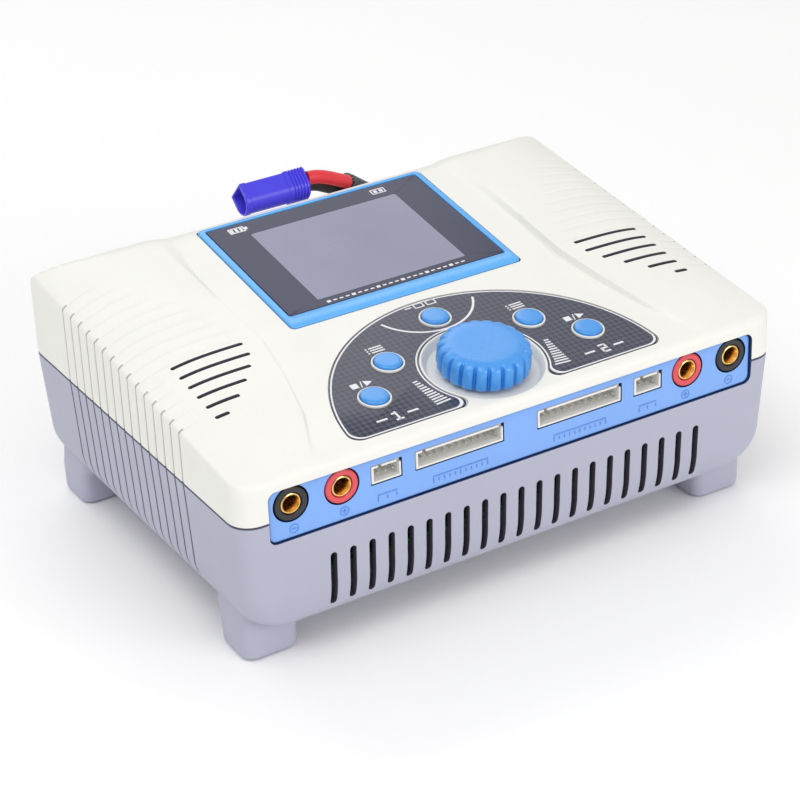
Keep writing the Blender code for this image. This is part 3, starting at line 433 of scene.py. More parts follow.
def loft(bm, rings, closed=False):
    rows = [[bm.verts.new(point) for point in ring] for ring in rings]
    pairs = list(zip(rows, rows[1:]))
    if closed:
        pairs.append((rows[-1], rows[0]))
    for low, high in pairs:
        count = len(low)
        for i in range(count):
            j = (i + 1) % count
            bm.faces.new((low[i], low[j], high[j], high[i]))
    if not closed:
        bm.faces.new(rows[0][::-1])
        bm.faces.new(rows[-1])
    return bm


def circle(radius, level, count=48, centre=(0.0, 0.0)):
    turns = [2 * math.pi * i / count for i in range(count)]
    return [(centre[0] + radius * math.cos(a), centre[1] + radius * math.sin(a), level) for a in turns]


def turned(profile, count=48, closed=False, centre=(0.0, 0.0), bm=None):
    return loft(bm or bmesh.new(), [circle(r, z, count, centre) for r, z in profile], closed)


def arc(centre, radius, start, end, steps):
    angles = [math.radians(start + (end - start) * k / steps) for k in range(steps + 1)]
    return [(centre[0] + radius * math.cos(a), centre[1] + radius * math.sin(a)) for a in angles]


def rounded_box(half_x, half_y, radius, level, steps=6, centre=(0.0, 0.0)):
    points = []
    for quarter, (sx, sy) in enumerate(((1, 1), (-1, 1), (-1, -1), (1, -1))):
        middle = (centre[0] + sx * (half_x - radius), centre[1] + sy * (half_y - radius))
        points += arc(middle, radius, 90 * quarter, 90 * quarter + 90, steps)
    return [(x, y, level) for x, y in points]


def block(bm, low, high):
    (x0, y0, z0), (x1, y1, z1) = low, high
    return loft(bm, [[(x0, y0, z), (x1, y0, z), (x1, y1, z), (x0, y1, z)] for z in (z0, z1)])


def bezier_route(guides, count):
    """Points along one Bezier curve, which leaves and ends along its outer guides."""
    degree = len(guides) - 1
    out = []
    for i in range(count + 1):
        t = i / count
        point = Vector((0.0, 0.0, 0.0))
        for k, guide in enumerate(guides):
            point += math.comb(degree, k) * t**k * (1 - t) ** (degree - k) * Vector(guide)
        out.append(point)
    return out


def smooth_route(points, per_span):
    route = [Vector(p) for p in points]
    route = [2 * route[0] - route[1], *route, 2 * route[-1] - route[-2]]
    out = []
    for a, b, c, d in zip(route, route[1:], route[2:], route[3:]):
        for k in range(per_span):
            t = k / per_span
            cubic = (2 * a - 5 * b + 4 * c - d) * t**2 + (3 * b - a - 3 * c + d) * t**3
            out.append(0.5 * (2 * b + (c - a) * t + cubic))
    out.append(route[-2])
    return out


def tube(name, route, radius, mat, ends=(1.0, 1.0), count=28, **place):
    """A round tube along a route, with a UV map: turns round it, metres along it."""
    bm = bmesh.new()
    uv = bm.loops.layers.uv.new("UVMap")
    aim = (route[1] - route[0]).normalized()
    side = aim.orthogonal().normalized()
    rows, lengths, length = [], [], 0.0
    last = len(route) - 1
    for i, point in enumerate(route):
        ahead = route[min(i + 1, last)] - route[max(i - 1, 0)]
        ahead.normalize()
        side = (side - ahead * side.dot(ahead)).normalized()
        other = ahead.cross(side)
        if i:
            length += (point - route[i - 1]).length
        lengths.append(length)
        grow = ends[0] if i == 0 else ends[1] if i == last else 1.0
        turns = [2 * math.pi * k / count for k in range(count)]
        ring = [point + radius * grow * (side * math.cos(a) + other * math.sin(a)) for a in turns]
        rows.append([bm.verts.new(p) for p in ring])
    for i in range(last):
        for k in range(count):
            n = (k + 1) % count
            face = bm.faces.new((rows[i][k], rows[i][n], rows[i + 1][n], rows[i + 1][k]))
            turn = ((k, i), (k + 1, i), (k + 1, i + 1), (k, i + 1))
            for loop, (around, along) in zip(face.loops, turn):
                loop[uv].uv = (around / count, lengths[along] * MM)
    bm.faces.new(rows[0][::-1])
    bm.faces.new(rows[-1])
    return piece(name, bm, mat, smooth=50, **place)


# ---------------------------------------------------------------- input lead


def plug_section(x, grow):
    """The plug's section: flat on one side, half round on the other, with eased corners."""
    half = PLUG_HALF_W + grow
    side, top = half - PLUG_EASE, PLUG_BACK + grow - PLUG_EASE
    flat = arc((side, top), PLUG_EASE, 0, 90, 4) + arc((-side, top), PLUG_EASE, 90, 180, 4)
    below = [(a, b - PLUG_ROUND) for a, b in arc((0, 0), half, 180, 360, 20)]
    points = []
    for a, b in flat + below:
        y = a * math.cos(PLUG_TILT) - b * math.sin(PLUG_TILT)
        z = a * math.sin(PLUG_TILT) + b * math.cos(PLUG_TILT)
        points.append((x, PLUG_Y + y, PLUG_Z + z))
    return points


def build_plug(m):
    """A hooded two-pole plug, open at the front, with grip ribs and a step at the wire end."""
    start, end = PLUG_X
    outside = [(end, -0.55), (end - 0.35, -0.2)]
    x = end - 0.6
    for _ in range(PLUG_RIBS):
        outside += [(x, 0.0), (x - 0.55, 0.0), (x - 0.7, -0.35), (x - 1.0, -0.35)]
        x -= PLUG_RIB_PITCH
    outside += [(x, 0.0), (x - 1.4, 0.0), (x - 1.6, -0.3), (start + 2.2, -0.3)]
    outside += [(start + 2.0, -0.1), (start + 0.4, -0.1), (start, -0.4)]
    inside = [(start, -0.85), (start + 0.5, -1.05), (end - 8.0, -1.05)]
    rings = [plug_section(x, grow) for x, grow in outside + inside]
    housing = piece("plug_shell", loft(bmesh.new(), rings), m["plug"], smooth=32,
                    nodes=("plug_housing",), slot="plug_plastic")
    contacts = []
    for pole, side in (("minus", 1), ("plus", -1)):
        offset = side * PLUG_CONTACT_APART / 2
        y = PLUG_Y + offset * math.cos(PLUG_TILT) + PLUG_CONTACT_DROP * math.sin(PLUG_TILT)
        z = PLUG_Z + offset * math.sin(PLUG_TILT) - PLUG_CONTACT_DROP * math.cos(PLUG_TILT)
        profile = [(1.75, 0), (1.75, 8.6), (1.6, 8.8), (1.6, 9.3), (1.75, 9.5), (1.75, 11), (1.6, 11.6),
                   (1.2, 12)]
        turn = placed(end - 8 - GAP, y, z) @ Matrix.Rotation(-math.pi / 2, 4, "Y")
        contacts.append(piece(f"plug_pin_{pole}", turned(profile, 28), m["gold"], turn,
                              nodes=(f"plug_contact_{pole}",), slot="gilt_brass"))
    return [housing, *contacts]


def build_lead(m):
    sleeve = bezier_route(SLEEVE_GUIDES, 80)
    cover = tube("lead_sleeve", sleeve, SLEEVE_R, m["braid"], (0.97, 0.86), 40,
                 nodes=("input_lead_sleeve",), slot="braided_sleeve")
    red = tube("lead_wire_red", smooth_route(RED_ROUTE, 6), WIRE_R, m["red_wire"],
               nodes=("input_wire_red",), slot="red_silicone")
    black = tube("lead_wire_black", smooth_route(BLACK_ROUTE, 6), WIRE_R, m["black_wire"],
                 nodes=("input_wire_black",), slot="black_silicone")
    profile = [(7.0, -3.4), (7.0, -2.5), (5.3, -2.5), (5.3, 1.8), (7.2, 1.8), (7.5, 2.1), (7.5, 3.4),
               (7.1, 3.9)]
    z = 4.1
    for _ in range(4):
        profile += [(6.5, z), (6.5, z + 0.9), (6.0, z + 1.1), (6.0, z + 1.5)]
        z += 1.7
    profile += [(5.9, GLAND_END - GLAND_SEAT - 0.1), (5.6, GLAND_END - GLAND_SEAT)]
    gland = piece("lead_gland", turned(profile, 40), m["rubber"], placed(LEAD_X, GLAND_SEAT, LEAD_Z) @ BACK,
                  nodes=("cable_gland",), slot="black_plastic")
    plug = build_plug(m)


# ---------------------------------------------------------------- upper case


def ease(t):
    t = min(max(t, 0.0), 1.0)
    return t * t * (3 - 2 * t)


def wing_at(depth):
    for low, high in zip(WING, WING[1:]):
        if depth <= high[0]:
            t = max(0.0, (depth - low[0]) / (high[0] - low[0]))
            return [a + (b - a) * t for a, b in zip(low[1:], high[1:])]
    return list(WING[-1][1:])


def top_height(x, y, inset=0.0):
    """Height of the upper case's smooth surface over a point in plan."""
    depth = y + CASE_D / 2
    line, lift, half = wing_at(depth)
    side = abs(x)
    rim = -0.35 - 0.04 * depth
    out = min(max((side - line) / (CASE_W / 2 - line), 0.0), 1.0)
    on_wing = ease((side - line + half) / (2 * half))
    height = DECK_Z + DECK_RISE * depth + on_wing * (lift - (lift - rim) * out**4)
    if y > REAR_START:
        reach = min((y - REAR_START) / (CASE_D / 2 - REAR_START), 1.0)
        crest = DECK_Z + DECK_RISE * (REAR_START + CASE_D / 2) + on_wing * lift
        roll = REAR_DROP - inset
        height = min(height, crest - roll * (1 - math.sqrt(1 - reach**2)))
    return height - inset


def edge_drop(x, y):
    """How far the eased outer edge falls below the surface, from the plan before its corners turn."""
    to_side = CASE_W / 2 - abs(x)
    to_front = y + CASE_D / 2
    radius = RIM_R
    near = to_side
    if to_front < FRONT_EDGE_R + CORNER_R:
        blend = ease(0.5 + (to_side - to_front) / (2 * CORNER_R))
        radius = RIM_R + (FRONT_EDGE_R - RIM_R) * blend
        near = min(to_side, to_front)
    if near >= radius:
        return 0.0
    return radius - math.sqrt(max(radius**2 - (radius - near) ** 2, 0.0))


def round_corner(x, y):
    over_x = abs(x) - (CASE_W / 2 - CORNER_R)
    over_y = abs(y) - (CASE_D / 2 - CORNER_R)
    if over_x <= 0 or over_y <= 0:
        return x, y
    reach = max(over_x, over_y)
    angle = math.pi / 4 * over_y / over_x
    if over_y > over_x:
        angle = math.pi / 2 - math.pi / 4 * over_x / over_y
    new_x = CASE_W / 2 - CORNER_R + reach * math.cos(angle)
    new_y = CASE_D / 2 - CORNER_R + reach * math.sin(angle)
    return math.copysign(new_x, x), math.copysign(new_y, y)


def groove_at(depth):
    """How deep in a groove a distance from the front edge lies, 0 to 1, and that groove's number."""
    k = round((depth - GROOVES[0]) / (GROOVES[1] - GROOVES[0]))
    k = min(max(k, 0), len(GROOVES) - 1)
    off = abs(depth - GROOVES[k])
    return 1 - ease((off - GROOVE_FLAT) / GROOVE_FLANK), k


def line_drop(x, y):
    """The fine line that runs in over the top from each side groove."""
    amount, k = groove_at(y + CASE_D / 2)
    if amount <= 0:
        return 0.0
    side = abs(x)
    fade = ease((side - LINE_ENDS[k]) / 2.5)
    deep = LINE_DEPTH + (GROOVE_DEPTH - LINE_DEPTH) * ease((side - CASE_W / 2 + 1.6) / 1.6)
    return amount * fade * deep


def case_columns(depth):
    line, _, half = wing_at(depth)
    edge = CASE_W / 2 - CORNER_R
    right = [0.25 * line, 0.5 * line, 0.75 * line, line - 1.5 * half - 0.8]
    right += [line + half * t for t in (-1.0, -0.75, -0.5, -0.25, 0.0, 0.25, 0.5, 0.75, 1.0)]
    start = line + half
    right += [start + (edge - start) * t for t in
              (0.08, 0.18, 0.28, 0.38, 0.48, 0.57, 0.65, 0.72, 0.78, 0.84, 0.89, 0.94, 0.97)]
    right += [edge, edge + 1.2, edge + 2.4, edge + 3.6, edge + 4.6, edge + 5.4]
    right += [CASE_W / 2 - t for t in (1.1, RIM_R, 0.4, 0.2, 0.08, 0.0)]
    return [-x for x in reversed(right)] + [0.0] + right


def case_rows():
    rows = [0.0, 0.12, 0.3, 0.55, 0.9, 1.3, 1.8, FRONT_EDGE_R, 3.4, 4.6, 5.8, CORNER_R]
    rows += [CORNER_R + 2.6 * k for k in range(1, 10)]
    for centre in GROOVES:
        rows += [centre + t for t in (-1.6, -0.56, -0.42, -0.22, 0.0, 0.22, 0.42, 0.56, 1.6)]
    rows += [113.5, 116.5, 119.0]
    span = CASE_D / 2 - REAR_START
    turns = 16
    roll = [CASE_D - span * (1 - math.sin(math.pi / 2 * k / turns)) for k in range(turns + 1)]
    return [d - CASE_D / 2 for d in rows + roll]


def build_top_shell():
    bm = bmesh.new()
    rows = case_rows()
    skins = []
    for inset in (0.0, WALL):
        scale_x, scale_y = 1 - 2 * inset / CASE_W, 1 - 2 * inset / CASE_D
        skin = []
        for y in rows:
            line = []
            for x in case_columns(y + CASE_D / 2):
                px, py = round_corner(x, y)
                z = top_height(px, py, inset)
                if inset == 0.0:
                    z -= edge_drop(x, y) + line_drop(px, py)
                    if abs(x) == CASE_W / 2:
                        px -= math.copysign(groove_at(py + CASE_D / 2)[0] * GROOVE_DEPTH, px)
                line.append(bm.verts.new((px * scale_x, py * scale_y, z)))
            skin.append(line)
        skins.append(skin)
    last_row, last_column = len(rows) - 1, len(skins[0][0]) - 1
    around = [(0, i) for i in range(last_column)]
    around += [(j, last_column) for j in range(last_row)]
    around += [(last_row, i) for i in range(last_column, 0, -1)]
    around += [(j, 0) for j in range(last_row, 0, -1)]
    rims = []
    for skin, levels, lip in ((skins[0], (1 / 4, 1 / 3, 1 / 2, 1.0), 0.25), (skins[1], (1.0,), 0.0)):
        for j in range(last_row):
            for i in range(last_column):
                bm.faces.new((skin[j][i], skin[j][i + 1], skin[j + 1][i + 1], skin[j + 1][i]))
        edge = [skin[j][i] for j, i in around]
        seam = SEAM_Z + GAP / 2 + lip
        for t in levels:
            low = [bm.verts.new((v.co.x, v.co.y, v.co.z + (seam - v.co.z) * t)) for v in edge]
            for k in range(len(edge)):
                n = (k + 1) % len(edge)
                bm.faces.new((edge[k], low[k], low[n], edge[n]))
            edge = low
        # The lip drawn in at the seam takes the dark slate: painted shade in the gap between the halves.
        if lip:
            shrink_x, shrink_y = 1 - 2 * lip / CASE_W, 1 - 2 * lip / CASE_D
            drawn = [bm.verts.new((v.co.x * shrink_x, v.co.y * shrink_y, v.co.z - lip)) for v in edge]
            for k in range(len(edge)):
                n = (k + 1) % len(edge)
                bm.faces.new((edge[k], drawn[k], drawn[n], edge[n])).material_index = 2
            edge = drawn
        rims.append(edge)
    outer, inner = rims
    for k in range(len(outer)):
        n = (k + 1) % len(outer)
        bm.faces.new((outer[k], inner[k], inner[n], outer[n]))
    # Groove faces on the sides take the darker beige: painted shade in the grooves.
    for face in bm.faces:
        centre = face.calc_center_median()
        if abs(centre.x) > CASE_W / 2 - 1.4 and groove_at(centre.y + CASE_D / 2)[0] > 0.5:
            face.material_index = max(face.material_index, 1)
    return bm


def label_outline(level, grow=0.0, fine=6):
    """The arch of the control label: half an ellipse over a round opening for the jog dial."""
    outer_r, inner_r = 4.0, 3.0
    foot = LABEL_FOOT_V - grow
    ring = LABEL_R - grow
    semi_u, semi_v = LABEL_U + grow, LABEL_V + grow
    first = math.asin((outer_r - grow) / semi_v)
    outer_u = semi_u * math.cos(first) - outer_r
    outer_v = foot + outer_r
    inner_v = foot + inner_r
    inner_u = math.sqrt((ring + inner_r) ** 2 - (DIAL_V - inner_v) ** 2)
    low = math.degrees(math.atan2(DIAL_V - inner_v, inner_u))
    points = arc((outer_u, outer_v), outer_r, -90, 0, fine)
    for k in range(1, 64):
        a = first + (math.pi - 2 * first) * k / 64
        points.append((semi_u * math.cos(a), LABEL_FOOT_V + semi_v * math.sin(a)))
    points += arc((-outer_u, outer_v), outer_r, 180, 270, fine)
    points += arc((-inner_u, inner_v), inner_r, -90, low, fine)
    points += arc((0.0, DIAL_V), ring, 180 + low, -low, 64)[1:-1]
    points += arc((inner_u, inner_v), inner_r, 180 - low, 270, fine)
    return [(u, v, level) for u, v in points]


def panel_opening(bm):
    half_h = (PANEL_Z[1] - PANEL_Z[0]) / 2 + GAP
    outline = rounded_box(PANEL_W / 2 + GAP, half_h, 2.5, 0, centre=(0, sum(PANEL_Z) / 2))
    rings = [[(x, y, z) for x, z, _ in outline] for y in (-CASE_D / 2 - 2, -CASE_D / 2 + WALL + 1)]
    return loft(bm, rings)


def on_deck(bm, rings):
    """A loft given in the deck's frame, in millimetres of the world."""
    world = []
    for ring in rings:
        world.append([DECK @ (Vector(p) * MM) / MM for p in ring])
    return loft(bm, world)


def build_top_case(m):
    case = raw_object("upper_shell", build_top_shell(), (m["cream"], m["beige"], m["slate"]))
    normals_out(case)
    joined = bmesh.new()
    on_deck(joined, [circle(DISH_R - 0.3, w, 64, (0, DIAL_V)) for w in (-1.0, -3.9)])
    for y in FOOT_Y:
        for side in (-1, 1):
            top = top_height(side * (FOOT_X + POST_R), y + POST_R) - WALL / 2
            turned([(POST_R - 0.2, FOOT_TOP + GAP), (POST_R, top)], 24, centre=(side * FOOT_X, y), bm=joined)
    carve(case, joined, m["cream"], operation="UNION")

    cuts = bmesh.new()
    for k, inner in enumerate(VENT_INNER):
        for side in (-1, 1):
            centre = (side * (VENT_OUTER + inner) / 2, VENT_FIRST + k * VENT_PITCH)
            half = (VENT_OUTER - inner) / 2
            outline = rounded_box(half, VENT_W / 2, VENT_W / 2 - 0.05, 0, 4, centre)
            loft(cuts, [[(x, y, z) for x, y, _ in outline] for z in (62.0, 78.0)])
    for y in FOOT_Y:
        for side in (-1, 1):
            turned([(1.8, FOOT_TOP - 2), (1.8, 33)], 20, centre=(side * FOOT_X, y), bm=cuts)
    # The vent and hole walls take the near black: painted shade inside them.
    carve(case, cuts, m["slot"])

    opening = bmesh.new()
    panel_opening(opening)
    middle = (0, sum(FRAME_V) / 2)
    half_v = (FRAME_V[1] - FRAME_V[0]) / 2 + GAP
    on_deck(opening, [rounded_box(FRAME_U + GAP, half_v, 1.6, w, 4, middle) for w in (-6, 3)])
    # The opening walls take the navy: painted shade round the connector panel and the display frame.
    carve(case, opening, m["navy"])

    pocket = bmesh.new()
    on_deck(pocket, [label_outline(w, GAP) for w in (-0.8, 3)])
    tool = raw_object("pocket", pocket, m["cream"])
    normals_out(tool)
    collars = bmesh.new()
    for _, u, v in BUTTONS:
        on_deck(collars, [circle(COLLAR_R, w, 40, (u, v)) for w in (-2, 4)])
    carve(tool, collars, m["cream"])
    pocket = bmesh.new()
    pocket.from_mesh(tool.data)
    bmesh.ops.scale(pocket, vec=(1 / MM,) * 3, verts=pocket.verts)
    bpy.data.objects.remove(tool)
    dish = [(4.8, -8), (4.8, -2.6), (DISH_R - 2.4, -2.6), (DISH_R - 1.7, -2.45), (DISH_R - 1.2, -2.0),
            (DISH_R - 0.45, -0.35), (DISH_R, 0.0), (DISH_R + 0.4, 1)]
    on_deck(pocket, [circle(r, w, 96, (0, DIAL_V)) for r, w in dish])
    carve(case, pocket, m["cream"])

    rings = bmesh.new()
    for _, u, v in BUTTONS:
        on_deck(rings, [circle(r, w, 40, (u, v)) for r, w in
                        ((COLLAR_R - 0.02, -0.5), (COLLAR_R - 0.02, 0.3), (COLLAR_R - 0.2, 0.5),
                         (4.0, 0.5))])
    carve(case, rings, m["cream"], operation="UNION")
    holes = bmesh.new()
    for _, u, v in BUTTONS:
        on_deck(holes, [circle(BUTTON_R + grow, w, 40, (u, v)) for grow, w in
                        ((0.25, -6), (0.25, 0.2), (0.5, 0.45), (0.6, 2))])
    carve(case, holes, m["cream"])
    finish_piece(case, 28, "case", ("top_case",))


def normals_out(obj):
    bm = bmesh.new()
    bm.from_mesh(obj.data)
    bmesh.ops.recalc_face_normals(bm, faces=bm.faces)
    bm.to_mesh(obj.data)
    bm.free()


# ---------------------------------------------------------------- lower case


def lower_outline(z, curl, inset=0.0):
    """One level of the lower case, as points round it, with its side grooves."""
    lean = DRAFT * min(SEAM_Z - z, SEAM_Z - ROUND_Z)
    half_x = CASE_W / 2 - inset - lean - ROUND_SIDE * curl
    half_y = CASE_D / 2 - inset - lean - ROUND_FRONT * curl
    radius = CORNER_R - inset + 2 * curl
    points = []
    across = (-1.6, -0.62, -0.46, -0.25, 0.0, 0.25, 0.46, 0.62, 1.6)
    sides = [g - CASE_D / 2 + t for g in GROOVES for t in across]
    spread = [-0.9, -0.6, -0.3, 0.0, 0.3, 0.6, 0.9]
    steps = 9
    middle = (half_x - radius, half_y - radius)

    def dent(y):
        if inset:
            return 0.0
        return groove_at(y + CASE_D / 2)[0] * GROOVE_DEPTH

    for y in sides:
        points.append((half_x - dent(y), y, z))
    points += [(x, y, z) for x, y in arc(middle, radius, 0, 90, steps)]
    points += [(-t * middle[0], half_y, z) for t in spread]
    points += [(x, y, z) for x, y in arc((-middle[0], middle[1]), radius, 90, 180, steps)]
    for y in reversed(sides):
        points.append((-half_x + dent(y), y, z))
    points += [(x, y, z) for x, y in arc((-middle[0], -middle[1]), radius, 180, 270, steps)]
    points += [(t * middle[0], -half_y, z) for t in spread]
    points += [(x, y, z) for x, y in arc((middle[0], -middle[1]), radius, 270, 360, steps)]
    return points


def build_bottom_shell():
    top = SEAM_Z - GAP / 2
    levels = []
    turns = 14
    for k in range(turns, 0, -1):
        a = math.pi / 2 * k / turns
        levels.append((ROUND_Z - (ROUND_Z - FLOOR_Z) * math.sin(a), 1 - math.cos(a), 0.0))
    levels += [(z, 0.0, 0.0) for z in (ROUND_Z, 30.0, 35.0, 40.0, 45.0, top - 0.25)]
    levels.append((top, 0.0, 0.25))
    rings = [lower_outline(z, curl, inset) for z, curl, inset in levels]
    floor = FLOOR_Z + WALL
    for z in (top, ROUND_Z, 21.0, 17.5, 15.2, floor):
        lift = (z - floor) / (SEAM_Z - floor)
        level = z - WALL * (1 - lift)
        below = max(ROUND_Z - level, 0.0) / (ROUND_Z - FLOOR_Z)
        ring = lower_outline(level, 1 - math.sqrt(max(1 - below**2, 0.0)), WALL)
        rings.append([(x, y, z) for x, y, _ in ring])
    bm = loft(bmesh.new(), rings)
    # The seam lip and the side grooves take the dark slate: painted shade in the gap and the grooves.
    for face in bm.faces:
        centre = face.calc_center_median()
        if centre.z > top - 0.2:
            face.material_index = 1
        if abs(centre.y) > 45 or len(face.verts) > 4:
            continue
        if abs(centre.x) < 70 or centre.z > top - 0.3:
            continue
        lean = DRAFT * min(SEAM_Z - centre.z, SEAM_Z - ROUND_Z)
        below = min(max(ROUND_Z - centre.z, 0.0) / (ROUND_Z - FLOOR_Z), 1.0)
        curl = 1 - math.sqrt(1 - below**2)
        wall = CASE_W / 2 - lean - ROUND_SIDE * curl
        if groove_at(centre.y + CASE_D / 2)[0] > 0.55 and abs(centre.x) > wall - 1.6:
            face.material_index = 1
    return bm


def foot(bm, x, y):
    """A tapered foot: eased sole, slight draft, and a concave spread where it joins the floor."""
    profile = (
        (0.0, -1.25, -1.25), (0.2, -0.85, -0.85), (0.6, -0.4, -0.4), (1.1, -0.12, -0.12), (1.8, 0.0, 0.0),
        (9.4, 0.3, 0.1), (10.6, 0.6, 0.0), (11.6, 1.2, -0.1), (12.6, 2.4, -0.2), (16.0, 2.4, -0.4),
        (FOOT_TOP, 1.0, -0.4),
    )
    rings = []
    for z, inner, outer in profile:
        middle = (x - math.copysign((inner - outer) / 2, x), y - math.copysign((inner - outer) / 2, y))
        grow = (inner + outer) / 2
        rings.append(rounded_box(FOOT_W / 2 + grow, FOOT_D / 2 + grow, 3.6, z, 6, middle))
    return loft(bm, rings)


def build_bottom_case(m):
    case = raw_object("lower_shell", build_bottom_shell(), [m["grey"], m["slate"]])
    normals_out(case)
    feet = bmesh.new()
    for y in FOOT_Y:
        for side in (-1, 1):
            foot(feet, side * FOOT_X, y)
    carve(case, feet, m["grey"], operation="UNION")
    inside = bmesh.new()
    for x in (-FAN_X, FAN_X):
        for dx in (-1, 1):
            for top in (-1, 1):
                end = 11.0 if top < 0 else 13.4
                ring = circle(2.4, 0, 16, (x + dx * FAN_POST, FAN_Z + top * FAN_POST))
                loft(inside, [[(px, FAN_Y + w, pz) for px, pz, _ in ring] for w in (5.0 + GAP, end)])
    for post in BOARD_POSTS:
        turned([(3.0, FLOOR_Z + 1), (3.0, BOARD_Z - GAP)], 20, centre=post, bm=inside)
    carve(case, inside, m["grey"], operation="UNION")

    slots = bmesh.new()
    middle, half, r = sum(SLOT_Z) / 2, (SLOT_Z[1] - SLOT_Z[0]) / 2 - SLOT_W / 2, SLOT_W / 2
    for k in range(SLOT_COUNT):
        x = (k - (SLOT_COUNT - 1) / 2) * SLOT_PITCH
        outline = arc((x, middle + half), r, 0, 180, 8) + arc((x, middle - half), r, 180, 360, 8)
        loft(slots, [[(px, y, pz) for px, pz in outline] for y in (-72, -60)])
    for x in (-FAN_X, FAN_X):
        for k in range(-2, 3):
            rise = GRILLE_PITCH * k
            reach = math.sqrt(GRILLE_R**2 - rise**2)
            ring = rounded_box(reach, 1.7, 1.65, 0, 6, (x, FAN_Z + rise))
            loft(slots, [[(px, y, pz) for px, pz, _ in ring] for y in (FAN_Y + 5.6, FAN_Y + 20.0)])
    # The slot and grille walls take the near black: painted shade inside them.
    carve(case, slots, m["slot"])

    opening = bmesh.new()
    panel_opening(opening)
    # The opening walls take the navy: painted shade round the connector panel.
    carve(case, opening, m["navy"])
    holes = bmesh.new()
    ring = circle(GLAND_HOLE_R, 0, 40, (LEAD_X, LEAD_Z))
    loft(holes, [[(px, y, pz) for px, pz, _ in ring] for y in (62, 76)])
    for y in FOOT_Y:
        for side in (-1, 1):
            profile = ((3.5, -0.2), (3.3, 0.2), (3.3, SCREW_SEAT), (1.8, SCREW_SEAT), (1.8, FOOT_TOP + 2))
            turned(profile, 28, centre=(side * FOOT_X, y), bm=holes)
    carve(case, holes, m["grey"])
    finish_piece(case, 28, "case", ("bottom_case",))


# ---------------------------------------------------------------- front panel


def header_width(pins):
    return (pins - 1) * PIN_PITCH + 4.9


def build_front_panel(m):
    mid_z, half_h = sum(PANEL_Z) / 2, (PANEL_Z[1] - PANEL_Z[0]) / 2
    rings = []
    face = PANEL_Y
    for y, side, below, above in (
        (face, -0.75, -0.75, -0.75), (face + 0.06, -0.42, -0.42, -0.42), (face + 0.22, -0.18, -0.18, -0.18),
        (face + 0.45, -0.04, -0.04, -0.04), (face + 0.75, 0, 0, 0),
        (face + PANEL_T, 0, 0, 0), (face + PANEL_T, 1.4, 1.4, 0.6), (face + 3.3, 1.4, 1.4, 0.6),
    ):
        middle = (0, mid_z + (above - below) / 2)
        flat = rounded_box(PANEL_W / 2 + side, half_h + (above + below) / 2, 2.2, 0, 8, middle)
        rings.append([(x, y, z) for x, z, _ in flat])
    panel = raw_object("connector_panel", loft(bmesh.new(), rings), m["panel"])
    normals_out(panel)
    holes = bmesh.new()
    for _, x in SOCKET_X:
        for side in (-1, 1):
            ring = circle(SOCKET_R + 0.45, 0, 48, (side * x, CONNECTOR_Z))
            loft(holes, [[(px, y, pz) for px, pz, _ in ring] for y in (-72, -60)])
    for _, x, pins in HEADERS:
        for side in (-1, 1):
            half, high = header_width(pins) / 2 + GAP, HEADER_H / 2 + GAP
            ring = rounded_box(half, high, 0.3, 0, 3, (side * x, CONNECTOR_Z))
            loft(holes, [[(px, y, pz) for px, pz, _ in ring] for y in (-72, -60)])
    # The hole walls take the navy: painted shade round the sockets and headers.
    carve(panel, holes, m["navy"])
    marks = bmesh.new()
    for side in (-1, 1):
        for pole, x in SOCKET_X:
            centre = (side * x - 0.5 * side, LEGEND_Z)
            ring_mark(marks, centre, 1.5, 0.25)
            bar_mark(marks, centre, 1.5, 0.3)
            if pole == "plus":
                bar_mark(marks, (centre[0], centre[1] + 0.5), 0.3, 0.6)
                bar_mark(marks, (centre[0], centre[1] - 0.5), 0.3, 0.6)
        for _, x, pins in HEADERS:
            wide = header_width(pins)
            count = 2 if pins < 5 else 10
            for k in range(count + 1):
                u = side * x + (k / count - 0.5) * wide * LEGEND_SPAN
                bar_mark(marks, (u, LEGEND_Z), 0.3, 1.0 if k % 5 else 1.5)
            bar_mark(marks, (side * x, LEGEND_BAR_Z), wide * LEGEND_SPAN + 0.3, 0.3)
    finish_piece(panel, 30, "case", ("front_panel",))
    piece("panel_legends", marks, m["legend"], smooth=0, slot="blue_plastic")


def raise_mark(bm, outline, base=PANEL_Y + 0.3, top=PANEL_Y - 0.14):
    loft(bm, [[(x, y, z) for x, z in outline] for y in (base, top)])


def bar_mark(bm, centre, wide, high):
    x, z = centre
    a, b = wide / 2, high / 2
    raise_mark(bm, [(x - a, z - b), (x + a, z - b), (x + a, z + b), (x - a, z + b)])


def ring_mark(bm, centre, radius, width):
    rings = []
    for r, y in ((radius, PANEL_Y + 0.3), (radius, PANEL_Y - 0.12), (radius - width, PANEL_Y - 0.12),
                 (radius - width, PANEL_Y + 0.3)):
        rings.append([(x, y, z) for x, z, _ in circle(r, 0, 32, centre)])
    loft(bm, rings, closed=True)


